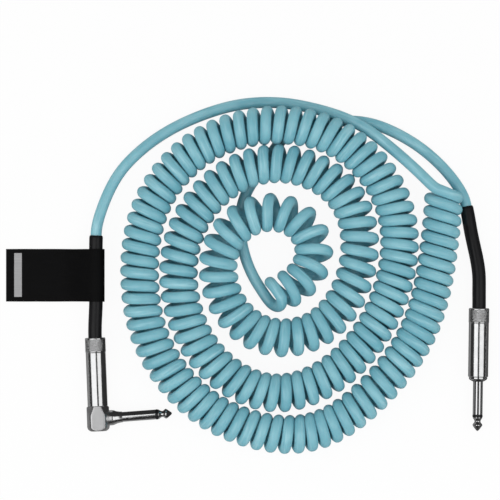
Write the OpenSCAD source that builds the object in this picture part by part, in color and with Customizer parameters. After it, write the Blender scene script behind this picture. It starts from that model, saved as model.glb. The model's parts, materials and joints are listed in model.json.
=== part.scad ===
// Curly instrument cable, laid flat as a spiral of curls, with an angled and a straight jack plug.
// Millimetres, +Z up. The origin is on the surface that the cable lies on, at the middle of the
// rectangle that the two plugs, their sleeves and the tag span.

/* [Cord] */
// Diameter of the cord's jacket
cord_d = 7; // [6:0.1:7]
// Outside diameter of the curls
coil_d = 25.2; // [22:0.1:25.2]
// Curls in the curly section
curls = 90; // [60:1:100]
// How many degrees each curl runs ahead while it passes over the top
curl_lean = 20; // [0:1:30]

/* [Plug shells] */
// Diameter of the smooth barrel
barrel_d = 12.9; // [12.5:0.1:13.5]
// Length of the smooth barrel
barrel_length = 35; // [34:0.5:38]
// Diameter of the knurled grip ring
grip_d = 13.2; // [13:0.1:13.2]
// Length of the knurled grip ring
grip_length = 9; // [7:0.5:12]
// Outside diameter of the thread that holds a shell
thread_d = 10; // [9.8:0.1:10.2]
// Length of that thread
thread_length = 6; // [5:0.5:7]

/* [Jack] */
// Diameter of the shaft
shaft_d = 6.35; // [6.3:0.01:6.4]
// Length from the shoulder to the point of the tip
jack_length = 31.8; // [30.5:0.1:32]
// Length of the earthed shaft in front of the shoulder
shaft_length = 20.9; // [20:0.1:22]
// Width of the black insulating ring
ring_width = 2.1; // [1.5:0.1:2.5]
// Diameter of the ball at the tip
ball_d = 5.9; // [5.6:0.1:6]
// Diameter of the neck behind the ball
neck_d = 4.2; // [4:0.1:4.8]

/* [Angled head] */
// Diameter of the round bar that the head is made of
head_d = 14.5; // [14:0.1:15]
// Length of the head along the barrel
head_length = 16; // [15:0.5:18]
// Thickness between the two flats
head_flats = 11.2; // [10.8:0.1:12]
// Distance from the barrel's axis to the shaft's shoulder
shoulder_reach = 15.8; // [14:0.1:18]
// How many degrees the shaft leans from square towards the cord
shaft_lean = 2; // [0:0.5:3]

/* [Sleeves] */
// Diameter of the heat-shrink sleeves
sleeve_d = 8.4; // [8:0.1:8.6]
// Bore of the heat-shrink sleeves
sleeve_bore = 7.1; // [7.1:0.1:7.4]

/* [Tag] */
// Length of the folded tag from the cord's axis to its end
tag_length = 57.7; // [40:0.1:60]
// Width of the tag along the cord
tag_width = 33.4; // [20:0.1:34]
// Thickness of the two layers lying flat
tag_thickness = 1.4; // [0.8:0.1:2]

/* [Hidden] */
$fn = 48;
cord_sides = 12;
curl_sides = 6;
rings_per_curl = 8;
real_curls = 160;
overlap = 0.01;
cord_r = cord_d / 2;
coil_r = coil_d / 2 - cord_r;
up = [0, 0, 1];

// Height of the plugs' axes over the surface
plug_z = grip_d / 2;
// Middle of each shell's front edge, and the turn of each plug seen from above, in degrees
angled_front = [-97, -57, plug_z];
angled_turn = 2.2;
straight_front = [148.5, -38, plug_z];
straight_turn = -0.8;

// Inside a shell, along the plug's axis from the shell's front edge (forward is positive)
shell_length = barrel_length + grip_length;
running_gap = 0.05;
chamber_d = 10.6;
rear_bore_d = 9.2;
rear_wall = 2;
flange_length = 3;
tube_d = 9.96;
tube_bore = 9.46;
tube_front = -thread_length - 1.2;
clamp_front = -27;
clamp_rear = -33;
jacket_front = -25;
sleeve_front = -34;
earth_plate = 0.6;
collar_bore_d = 8;

// Middle of the axis of the curls: [real curl, x, y, lift over what lies below]
axis_route = [
    [-5, 135.8, 113.9, 0], [0, 127.2, 80.5, 0], [5, 123.2, 44.4, 0], [10, 116.4, 3.8, 0],
    [15, 100.6, -27.7, 0], [20, 68.4, -62.1, 0], [25, 35.1, -78.7, 0], [30, -8.9, -70.5, 0],
    [35, -42.3, -48.8, 0], [40, -66.3, -12.3, 0], [45, -71.4, 29.1, 0], [50, -66.8, 69.3, 0],
    [55, -43.4, 104.3, 0], [60, -6.5, 123.9, 3], [65, 37.6, 125.9, 10.2], [70, 74.6, 107.8, 3.5],
    [75, 98.4, 71.4, 0], [80, 98.3, 31.4, 0], [85, 84.2, -6.5, 0], [90, 57.1, -37.9, 0],
    [95, 16.5, -54.4, 0], [100, -23.9, -33.1, 0], [105, -44.7, 3.8, 0], [110, -46.6, 49.3, 0],
    [115, -23.2, 86.9, 4], [120, 17.7, 105.2, 10.2], [125, 61.6, 88, 0], [129, 75.4, 53.3, 0],
    [133, 67.4, 14, 0], [137, 42.9, -13.3, 0], [141, 3.9, -14.5, 0], [145, -20.8, 15.8, 0],
    [148.5, -19.7, 51.6, 7.5], [151.5, 6.1, 71, 7.5], [154, 35.4, 66, 0], [156.25, 46.4, 40.9, 0],
    [158.375, 32.9, 20.1, 0], [160.5, 12.4, 14.1, 0], [162.625, 5, 0, 0]
];
// Mouth of each sleeve, and the way the cord goes on from it
angled_mouth = [-98, 54, 6.6];
angled_leave = [0.03, 1, 0];
straight_mouth = [141.6, 71.8, 4.4];
straight_leave = [-0.2, 0.98, -0.05];
// Spacing of the guide points that set a route's heading at its ends
lead_in = 7;
// Guide points of the sleeves between plug and mouth
angled_sleeve_route = [
    [-98.6, -1, 6.6], [-98.1, 8, 6.6], [-98.05, 18, 6.6], [-98.05, 28, 6.6], [-98.05, 38, 6.6]
];
straight_sleeve_route = [
    [149.1, 19, 6.6], [148.9, 27.5, 6.2], [147.7, 36.5, 5.7], [145.9, 46, 5.3], [144.2, 55, 4.9]
];
// Guide points of the two leads between sleeve and curls, each from the sleeve on
angled_lead_route = [
    [-92.5, 77.5, 3.5], [-84, 94, 3.5], [-72, 106.5, 3.5], [-58, 117.5, 3.5], [-43, 126, 3.5],
    [-26.5, 133, 3.5], [-9.5, 137.5, 3.5], [7.5, 139.5, 3.5], [25, 139, 3.5], [42.5, 135.5, 4.8],
    [59, 130.5, 11.8], [74.5, 124, 11.8], [89.5, 113.5, 12.5], [104.5, 101, 16.5]
];
straight_lead_route = [
    [133.5, 91, 3.5], [122, 102.5, 3.5], [109, 112, 3.5], [96, 119.5, 3.5], [82, 125.5, 3.5],
    [68, 127.6, 3.5], [54.5, 126.8, 3.5], [41.5, 125.2, 3.5], [29.5, 121.6, 3.5],
    [20.5, 114.4, 3.5], [14.5, 104.8, 3.5], [7.5, 94.8, 3.5], [0.5, 84.5, 3.5], [-4, 74, 3.5],
    [-5.4, 62, 3.5], [-4.6, 49.5, 3.5], [-1, 35.5, 3.5]
];
// Where the tag wraps the sleeve
tag_middle = [-98.05, 27.5, 6.6];
tag_loop_d = 11;
tag_loop_bore = 9;

// ---- Smooth curves through guide points, and tubes along them ----

// Shares of four neighbouring guide points at the part f of a span, and their rates of change
function shares(f) = [pow(1 - f, 3), 3 * pow(f, 3) - 6 * f * f + 4,
    -3 * pow(f, 3) + 3 * f * f + 3 * f + 1, pow(f, 3)] / 6;
function rates(f) = [-pow(1 - f, 2), 3 * f * f - 4 * f, -3 * f * f + 2 * f + 1, f * f] / 2;
function span_of(route, u) = max(0, min(floor(u), len(route) - 4));
function guides(route, i) = [for (k = [0:3]) route[i + k]];
function on_route(route, u) = let (i = span_of(route, u)) shares(u - i) * guides(route, i);
function along_route(route, u) = let (i = span_of(route, u)) rates(u - i) * guides(route, i);
function unit(v) = v / norm(v);

// One ring of points round a centre, square to the heading, its first point on the side of top
function ring(centre, heading, top, radius, sides) =
    let (ahead = unit(heading), side = unit(cross(ahead, top)), over = cross(side, ahead))
    [for (k = [0:sides - 1])
        centre + radius * (cos(360 * k / sides) * over + sin(360 * k / sides) * side)];

// Triangles between neighbouring rings; a closed row of rings also joins its last to its first
function skin(count, sides, closed) = [
    for (i = [0:count - (closed ? 1 : 2)], k = [0:sides - 1])
        let (a = i * sides + k, b = i * sides + (k + 1) % sides, n = (i + 1) % count * sides,
            c = n + (k + 1) % sides, d = n + k)
        each [[a, d, c], [a, c, b]]
];
function end_caps(count, sides) = let (last = (count - 1) * sides) [
    for (k = [1:sides - 2]) each [[0, k, k + 1], [last, last + k + 1, last + k]]
];

// Where along a route its rings stand, so many to each span
function steps(route, per_span) = [for (k = [0:(len(route) - 3) * per_span]) k / per_span];
function route_rings(route, radius, sides, per_span) = [
    for (u = steps(route, per_span))
        ring(on_route(route, u), along_route(route, u), up, radius, sides)
];

module solid_tube(rings, sides) {
    polyhedron(points = [for (r = rings) each r],
        faces = concat(skin(len(rings), sides, false), end_caps(len(rings), sides)));
}

// A tube with a bore: its outer rings forwards, then its inner rings backwards
module bored_tube(outer, inner, sides) {
    rings = concat(outer, [for (i = [len(inner) - 1:-1:0]) inner[i]]);
    polyhedron(points = [for (r = rings) each r], faces = skin(len(rings), sides, true));
}

// Three guide points in line, so that a route starts or ends at a point with a given heading
function straight_in(point, heading) =
    [point - lead_in * heading, point, point + lead_in * heading];

// ---- The curls ----

// Curls passed at u, out of those that are drawn
function turned(u) = on_route(axis_route, u)[0] * (curls + 0.5) / (real_curls + 0.5);
// Direction from the coil's axis to the cord
function coil_radial(u) =
    let (way = along_route(axis_route, u), flat = unit([way[1], way[2]]), t = 360 * turned(u),
        angle = 90 - t - curl_lean * sin(t))
    [-flat[1] * cos(angle), flat[0] * cos(angle), sin(angle)];
function coil_point(u) =
    let (row = on_route(axis_route, u))
    [row[1], row[2], row[3] + coil_d / 2] + coil_r * coil_radial(u);
coil_end = len(axis_route) - 3;
nudge = 0.001;
function coil_heading(u) =
    coil_point(min(u + nudge, coil_end)) - coil_point(max(u - nudge, 0));
function level(v) = unit([v[0], v[1], 0]);
// Ends of the curly section: straight and level for one cord diameter
first_heading = level(coil_heading(0));
last_heading = level(coil_heading(coil_end));
curls_start = coil_point(0) - cord_d * first_heading;
curls_finish = coil_point(coil_end) + cord_d * last_heading;

function rings_in_span(i) = ceil(rings_per_curl * (turned(i + 1) - turned(i)));
coil_steps = concat(
    [for (i = [0:coil_end - 1]) let (n = rings_in_span(i)) each [for (k = [0:n - 1]) i + k / n]],
    [coil_end]);

// Least distance from a point to the straight piece between two others
function to_piece(p, a, b) =
    let (f = max(0, min(1, (p - a) * (b - a) / ((b - a) * (b - a))))) norm(p - a - f * (b - a));
// Least gap between the cord's surface and itself, one curl or more further on
function least_gap(middles) =
    let (reach = coil_d, apart = floor(rings_per_curl * 0.6))
    min([for (i = [0:len(middles) - 1], j = [i + apart:1:len(middles) - 2])
        if (norm(middles[i] - middles[j]) < reach)
            to_piece(middles[i], middles[j], middles[j + 1])]) - cord_d;

module curly_section() {
    echo(least_gap_of_the_curls = least_gap([for (u = coil_steps) coil_point(u)]));
    rings = concat(
        [ring(curls_start, first_heading, up, cord_r, curl_sides)],
        [for (u = coil_steps)
            ring(coil_point(u), coil_heading(u), coil_radial(u), cord_r, curl_sides)],
        [ring(curls_finish, last_heading, -up, cord_r, curl_sides)]);
    color("#84c8d6") solid_tube(rings, curl_sides);
}

// ---- The leads, the cord's ends and the sleeves ----

module angled_lead() {
    route = concat(straight_in(angled_mouth, unit(angled_leave)), angled_lead_route,
        straight_in(curls_start, first_heading));
    color("#84c8d6") solid_tube(route_rings(route, cord_r, cord_sides, 2), cord_sides);
}

module straight_lead() {
    route = concat(straight_in(straight_mouth, unit(straight_leave)), straight_lead_route,
        straight_in(curls_finish, -last_heading));
    color("#84c8d6") solid_tube(route_rings(route, cord_r, cord_sides, 2), cord_sides);
}

// A point on a plug's axis, so far behind the shell's front edge
function behind(front, turn, distance) = front + distance * [-sin(turn), cos(turn), 0];
// Route inside a sleeve, from so far behind the front edge, through the hand-set points, to its mouth
function sleeve_route(front, turn, start, route, mouth, leave) = concat(
    [for (n = [-1, 0, 1]) behind(front, turn, start + n * lead_in)],
    [for (d = [start + 2 * lead_in:lead_in:shell_length + lead_in]) behind(front, turn, d)],
    route, straight_in(mouth, unit(leave)));

module sleeve(front, turn, route, mouth, leave) {
    path = sleeve_route(front, turn, -sleeve_front, route, mouth, leave);
    outer = route_rings(path, sleeve_d / 2, cord_sides, 1);
    inner = route_rings(path, sleeve_bore / 2, cord_sides, 1);
    color("#101012") bored_tube(outer, inner, cord_sides);
}

module cable_end(front, turn, route, mouth, leave) {
    path = sleeve_route(front, turn, -jacket_front, route, mouth, leave);
    color("#84c8d6") solid_tube(route_rings(path, cord_r, cord_sides, 1), cord_sides);
}

module angled_sleeve() {
    sleeve(angled_front, angled_turn, angled_sleeve_route, angled_mouth, angled_leave);
}

module angled_cable_end() {
    cable_end(angled_front, angled_turn, angled_sleeve_route, angled_mouth, angled_leave);
}

module straight_sleeve() {
    sleeve(straight_front, straight_turn, straight_sleeve_route, straight_mouth, straight_leave);
}

module straight_cable_end() {
    cable_end(straight_front, straight_turn, straight_sleeve_route, straight_mouth, straight_leave);
}

// ---- The folded tag round the angled plug's sleeve ----

module tag() {
    color("#202022")
    translate(tag_middle) rotate([90, 0, 0]) linear_extrude(tag_width, center = true) difference() {
        union() {
            circle(d = tag_loop_d);
            polygon([
                [0, tag_loop_d / 2], [-9, 1.2], [-20, tag_thickness - tag_middle[2]],
                [-tag_length, tag_thickness - tag_middle[2]], [-tag_length, -tag_middle[2]],
                [-20, -tag_middle[2]], [-9, -3.4], [0, -tag_loop_d / 2]
            ]);
        }
        circle(d = tag_loop_bore);
    }
}

// ---- Plug pieces, along +Z from the shell's front edge, the cord's side below zero ----

module tube_between(low, high, outer_d, inner_d) {
    translate([0, 0, low]) difference() {
        cylinder(d = outer_d, h = high - low);
        translate([0, 0, -1]) cylinder(d = inner_d, h = high - low + 2);
    }
}

// Barrel and grip ring, turned in one piece, open in front and threaded inside its front end
module shell() {
    edge = 0.5;
    barrel_r = barrel_d / 2;
    grip_r = grip_d / 2;
    thread_r = thread_d / 2 + running_gap;
    thread_rear = -thread_length - 1;
    chamber_rear = -shell_length + rear_wall;
    color("#d4d6da") rotate_extrude() polygon([
        [thread_r, 0], [barrel_r - edge, 0], [barrel_r, -edge],
        [barrel_r, -barrel_length + edge], [barrel_r - edge, -barrel_length],
        [grip_r - edge, -barrel_length], [grip_r, -barrel_length - edge],
        [grip_r, -shell_length + edge], [grip_r - edge, -shell_length],
        [rear_bore_d / 2, -shell_length], [rear_bore_d / 2, chamber_rear],
        [chamber_d / 2, chamber_rear], [chamber_d / 2, thread_rear], [thread_r, thread_rear]
    ]);
}

module insulating_tube() {
    color("#d8dfe2", 0.5)
    tube_between(-shell_length + rear_wall + 0.2, tube_front, tube_d, tube_bore);
}

// Plate ring on the collar, a curved tang and the clamp that grips the jacket
module earth_lug() {
    plate_rear = -thread_length - earth_plate;
    tang_front = plate_rear + overlap;
    tang_inner = 4;
    tang_outer = 4.4;
    clamp_outer = 4.05;
    color("#c9a85c") {
        tube_between(plate_rear, -thread_length, thread_d - 0.2, collar_bore_d + 0.1);
        rotate([0, 0, 155]) rotate_extrude(angle = 50) polygon([
            [tang_inner, clamp_rear], [tang_outer, clamp_rear],
            [tang_outer, tang_front], [tang_inner, tang_front]
        ]);
        rotate([0, 0, 55]) rotate_extrude(angle = 250) polygon([
            [cord_r, clamp_rear], [clamp_outer, clamp_rear],
            [clamp_outer, clamp_front], [cord_r, clamp_front]
        ]);
    }
}

core_d = 3.2;
wire_d = 1;
screen_d = 1.6;
solder_d = 2.2;

module core(front) {
    color("#e8e4d8") translate([0, 0, jacket_front]) cylinder(d = core_d, h = front - jacket_front);
}

// A thin wire along guide points
module wire(route, diameter) {
    solid_tube([for (u = steps(route, 2))
        ring(on_route(route, u), along_route(route, u), [0, 1, 0], diameter / 2, 8)], 8);
}

// Where the strand of the braid leaves the jacket, and where it lies under the tang
braid_x = -2.45;
strand_x = -3.15;

// Braid drawn together into one strand, from the jacket's end to the tang
module screen() {
    color("#c98a5a") wire([[braid_x, 0, -26.5], [braid_x, 0, jacket_front], [braid_x, 0, -23.5],
        [-3.1, 0, -21.5], [strand_x, 0, -19.5], [strand_x, 0, -17.5], [strand_x, 0, -15.5]],
        screen_d);
}

// Joint of the strand with the tang, and the given joint of the conductor with the tip's lug
module solder(joint) {
    color("#b9bcc0") {
        translate([strand_x, 0, -18.5]) sphere(d = solder_d);
        translate(joint) sphere(d = solder_d);
    }
}

// ---- Jack pieces, along +Z from the shaft's shoulder ----

stem_d = 4;
rod_d = 2.5;

module shaft_front() {
    tube_between(0, shaft_length, shaft_d, stem_d);
}

// Black ring in front of the shaft, with the stem that lines the shaft's bore
module ring_insulator(back) {
    color("#141414") {
        tube_between(shaft_length, shaft_length + ring_width, shaft_d, rod_d);
        tube_between(back, shaft_length + overlap, stem_d, rod_d);
    }
}

// Tip and rod in one piece, with the rivet head behind the lug
module tip(rivet_back, rivet_front) {
    base_d = shaft_d - 0.35;
    base = shaft_length + ring_width;
    cone = base + 0.5;
    neck = 26;
    ball = jack_length - 3.2;
    nose = ball + 0.9;
    point_d = 1.8;
    rivet_d = 3.4;
    color("#d4d6da") {
        translate([0, 0, base]) cylinder(d = base_d, h = cone - base);
        translate([0, 0, cone]) cylinder(d1 = base_d, d2 = neck_d, h = neck - cone);
        translate([0, 0, neck - overlap]) cylinder(d = neck_d, h = ball - neck);
        translate([0, 0, ball]) sphere(d = ball_d);
        translate([0, 0, nose])
            cylinder(d1 = ball_d - 0.6, d2 = point_d, h = jack_length - point_d / 4 - nose);
        translate([0, 0, jack_length - point_d / 2]) sphere(d = point_d);
        translate([0, 0, rivet_back]) cylinder(d = rod_d, h = base - rivet_back + overlap);
        translate([0, 0, rivet_back]) cylinder(d = rivet_d, h = rivet_front - rivet_back);
    }
}

module rear_washer(back, front, diameter) {
    color("#3a2a20") tube_between(back, front, diameter, rod_d);
}

// ---- The straight plug ----

module lay_straight_plug() {
    translate(straight_front) rotate([0, 0, straight_turn]) rotate([90, 0, 0]) children();
}

module at_straight_shoulder() {
    lay_straight_plug() translate([0, 0, flange_length]) children();
}

collar_rear = -thread_length - flange_length;
washer_width = 1;
lug_plate = 0.5;
rivet_height = 0.6;
washer_rear = collar_rear - washer_width;
lug_rear = washer_rear - lug_plate;

module straight_shell() {
    lay_straight_plug() shell();
}

module straight_insulating_tube() {
    lay_straight_plug() insulating_tube();
}

// Threaded collar, chamfered flange and earthed shaft in one piece
module straight_body() {
    flange_d = barrel_d - 1;
    rim = 0.4;
    boss_d = 7.4;
    boss = 0.6;
    color("#d4d6da") at_straight_shoulder() {
        shaft_front();
        tube_between(collar_rear, -flange_length + overlap, thread_d, stem_d);
        difference() {
            union() {
                translate([0, 0, -flange_length]) cylinder(d = flange_d, h = rim + overlap);
                translate([0, 0, -flange_length + rim])
                    cylinder(d1 = flange_d, d2 = boss_d, h = flange_length - rim - boss);
                translate([0, 0, -boss - overlap]) cylinder(d = boss_d, h = boss + overlap);
            }
            translate([0, 0, -flange_length - 1]) cylinder(d = stem_d, h = flange_length + 2);
        }
    }
}

module straight_ring_insulator() {
    at_straight_shoulder() ring_insulator(collar_rear);
}

module straight_tip() {
    at_straight_shoulder() tip(lug_rear - rivet_height, lug_rear);
}

module straight_rear_washer() {
    at_straight_shoulder() rear_washer(washer_rear, collar_rear, 7.8);
}

// Disc under the rivet, with a tongue bent back along the cord
module straight_tip_lug() {
    color("#c9a85c") at_straight_shoulder() {
        difference() {
            union() {
                translate([0, 0, lug_rear]) cylinder(d = 4.8, h = lug_plate);
                translate([0, -1.3, lug_rear]) cube([2.9, 2.6, lug_plate]);
                translate([2.4, -1.3, lug_rear - 6]) cube([lug_plate, 2.6, 6 + lug_plate]);
            }
            translate([0, 0, lug_rear - 1]) cylinder(d = rod_d, h = 3);
        }
    }
}

module straight_earth_lug() {
    lay_straight_plug() earth_lug();
}

module straight_core() {
    lay_straight_plug() core(-18);
}

module straight_conductor() {
    color("#b87333") lay_straight_plug() wire([[0, 0, -19], [0, 0, -18], [0, 0, -17], [1, 0, -15.5],
        [1.85, 0, -13.5], [1.9, 0, -11.5], [1.9, 0, -9.5], [1.9, 0, -7.5]], wire_d);
}

module straight_screen() {
    lay_straight_plug() screen();
}

module straight_solder() {
    lay_straight_plug() solder([2, 0, -11]);
}

// ---- The angled plug ----

head_middle = head_length / 2;
head_bore_d = 9.6;
cap_d = 10.4;
cap_thickness = 2.4;
stub_d = 5.4;
stub_rear = -10.6;
angled_washer_rear = stub_rear - 0.9;
angled_lug_rear = angled_washer_rear - lug_plate;
// The flare and the waist of the head's neck, behind the shaft's shoulder
flare_d = 9.8;
flare_start = -10.8;
flare_bend = -6.6;
waist_d = 7.4;
waist_start = -3;
waist_end_d = 6.7;

module lay_angled_plug() {
    translate(angled_front) rotate([0, 0, angled_turn]) rotate([90, 0, 0]) children();
}

// The shaft's shoulder, in the frame of the plug
module in_head_shoulder() {
    translate([0, 0, head_middle]) rotate([0, 90 + shaft_lean, 0])
        translate([0, 0, shoulder_reach]) children();
}

module at_angled_shoulder() {
    lay_angled_plug() in_head_shoulder() children();
}

module angled_shell() {
    lay_angled_plug() shell();
}

module angled_insulating_tube() {
    lay_angled_plug() insulating_tube();
}

// Round bar with two flats, a rounded foot, a flared neck for the shaft and a threaded collar
module angled_head() {
    foot = 2.2;
    brow = 0.9;
    chamber_front = 1.5;
    head_r = head_d / 2;
    color("#c6c8cc") lay_angled_plug() difference() {
        union() {
            intersection() {
                rotate_extrude() polygon(concat(
                    [[0, 0], [head_r - brow, 0], [head_r, brow]],
                    [for (a = [0:15:90]) [head_r - foot + foot * cos(a),
                        head_length - foot + foot * sin(a)]],
                    [[0, head_length]]));
                translate([-head_r - 1, -head_flats / 2, -1])
                    cube([head_d + 2, head_flats, head_length + 2]);
            }
            in_head_shoulder() {
                translate([0, 0, flare_start])
                    cylinder(d = flare_d, h = flare_bend - flare_start + overlap);
                translate([0, 0, flare_bend])
                    cylinder(d1 = flare_d, d2 = waist_d, h = waist_start - flare_bend);
                translate([0, 0, waist_start - overlap])
                    cylinder(d1 = waist_d, d2 = waist_end_d, h = overlap - waist_start);
            }
            translate([0, 0, -thread_length]) cylinder(d = thread_d, h = thread_length + overlap);
        }
        translate([0, 0, -thread_length - 1]) cylinder(d = collar_bore_d, h = thread_length + 4);
        translate([0, 0, chamber_front])
            cylinder(d = head_bore_d, h = head_length - cap_thickness - chamber_front + overlap);
        translate([0, 0, head_length - cap_thickness]) cylinder(d = cap_d, h = cap_thickness + 1);
        in_head_shoulder() translate([0, 0, -shoulder_reach + 1])
            cylinder(d = stub_d, h = shoulder_reach);
    }
}

// Plug that closes the soldering chamber at the foot of the head
module angled_head_cap() {
    color("#c6c8cc") lay_angled_plug() difference() {
        translate([0, 0, head_length - cap_thickness]) cylinder(d = cap_d, h = cap_thickness);
        translate([-3.5, -0.5, head_length - 0.8]) cube([7, 1, 2]);
    }
}

module angled_shaft() {
    color("#d4d6da") at_angled_shoulder() {
        shaft_front();
        tube_between(stub_rear, overlap, stub_d, stem_d);
    }
}

module angled_ring_insulator() {
    at_angled_shoulder() ring_insulator(stub_rear);
}

module angled_tip() {
    at_angled_shoulder() tip(angled_lug_rear - rivet_height, angled_lug_rear);
}

module angled_rear_washer() {
    at_angled_shoulder() rear_washer(angled_washer_rear, stub_rear, stub_d);
}

// Disc under the rivet, with a flat tongue that points to the cord
module angled_tip_lug() {
    color("#c9a85c") at_angled_shoulder() difference() {
        translate([0, 0, angled_lug_rear]) {
            cylinder(d = 4, h = lug_plate);
            translate([0, -1.3, 0]) cube([5.6, 2.6, lug_plate]);
        }
        translate([0, 0, angled_lug_rear - 1]) cylinder(d = rod_d, h = 3);
    }
}

module angled_earth_lug() {
    lay_angled_plug() earth_lug();
}

module angled_core() {
    lay_angled_plug() core(0);
}

module angled_conductor() {
    color("#b87333") lay_angled_plug() wire([[0, 0, -1], [0, 0, 0], [0, 0, 1], [1.4, 0, 2],
        [2.8, 0, 2.8], [3.15, 0, 4], [3.25, 0, 5.2], [3.3, 0, 6.4]], wire_d);
}

module angled_screen() {
    lay_angled_plug() screen();
}

module angled_solder() {
    lay_angled_plug() solder([3.3, 0, 4.2]);
}

curly_section();
angled_lead();
straight_lead();
tag();
angled_sleeve();
angled_cable_end();
angled_shell();
angled_insulating_tube();
angled_head();
angled_head_cap();
angled_shaft();
angled_ring_insulator();
angled_tip();
angled_rear_washer();
angled_tip_lug();
angled_earth_lug();
angled_core();
angled_conductor();
angled_screen();
angled_solder();
straight_sleeve();
straight_cable_end();
straight_shell();
straight_insulating_tube();
straight_body();
straight_ring_insulator();
straight_tip();
straight_rear_washer();
straight_tip_lug();
straight_earth_lug();
straight_core();
straight_conductor();
straight_screen();
straight_solder();
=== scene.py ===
"""Looks of a curly instrument cable with an angled and a straight jack plug and a ribbon tag.

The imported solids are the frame. Each class below builds one sub-assembly round them, at the
sizes that its fields hold, and dresses it in its finishes. Lengths are millimetres until a mesh
is made; meshes, lamps and the camera are in metres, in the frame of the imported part.
"""

from __future__ import annotations

import json
import logging
import math
from collections.abc import Callable, Sequence
from dataclasses import dataclass, field
from enum import Enum

import bpy
import numpy as np
from mathutils import Matrix, Vector

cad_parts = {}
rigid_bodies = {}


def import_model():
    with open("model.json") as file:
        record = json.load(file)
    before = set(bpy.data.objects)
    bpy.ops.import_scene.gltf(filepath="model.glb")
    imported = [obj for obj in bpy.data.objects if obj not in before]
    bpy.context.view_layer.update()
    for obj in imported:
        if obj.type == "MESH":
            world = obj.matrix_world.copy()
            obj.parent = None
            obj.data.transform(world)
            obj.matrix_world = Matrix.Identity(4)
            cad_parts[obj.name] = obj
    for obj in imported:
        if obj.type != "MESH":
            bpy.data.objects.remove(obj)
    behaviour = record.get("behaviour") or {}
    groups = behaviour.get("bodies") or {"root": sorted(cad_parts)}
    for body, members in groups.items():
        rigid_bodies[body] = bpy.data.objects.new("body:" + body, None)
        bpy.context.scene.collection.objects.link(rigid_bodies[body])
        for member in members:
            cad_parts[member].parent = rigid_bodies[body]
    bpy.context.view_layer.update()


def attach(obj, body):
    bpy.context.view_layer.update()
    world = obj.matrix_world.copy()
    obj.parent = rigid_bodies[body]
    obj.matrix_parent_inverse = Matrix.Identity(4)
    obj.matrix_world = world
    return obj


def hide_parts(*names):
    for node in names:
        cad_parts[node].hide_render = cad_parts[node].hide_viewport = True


log = logging.getLogger("curly_cable")

MM = 0.001
UP = np.array([0.0, 0.0, 1.0])
# Attribute with each vertex's place on a turned or swept mesh: round it in x and y, and along it
# in z, in metres. On the ribbon: across it, along it, and 1 on its outer face.
LAY = "lay"
# Angles in degrees above which an edge stays sharp: on turned pieces, tubes and the ribbon
SHARP_EDGE, SHARP_TUBE_EDGE, SHARP_RIBBON_EDGE = 32.0, 50.0, 60.0

Points = np.ndarray
Colour = tuple[float, float, float]
Piece = bpy.types.Object
Socket = bpy.types.NodeSocket
Relief = Callable[[Points, Points, Points], Points]


class Body(Enum):
    """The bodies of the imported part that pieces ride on."""

    CABLE = "cable"
    TAG = "tag_flap"
    ANGLED_GRIP = "angled_grip"
    STRAIGHT_GRIP = "straight_grip"


class Slot(Enum):
    """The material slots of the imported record."""

    CORD = "cord_jacket"
    SLEEVE = "heat_shrink"
    SHELL = "plated_shell"
    CONTACT = "plated_contact"
    HEAD = "satin_head"
    INSULATOR = "black_insulator"
    WASHER = "fibre_washer"
    LUG = "brass_lug"
    TUBE = "clear_tube"
    CORE = "core_insulation"
    WIRE = "copper_wire"
    SOLDER = "solder"
    TAG = "tag_fabric"


class PlugKind(Enum):
    """The two plugs of the cable."""

    ANGLED = "angled"
    STRAIGHT = "straight"


# ---- Node graphs ----


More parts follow.
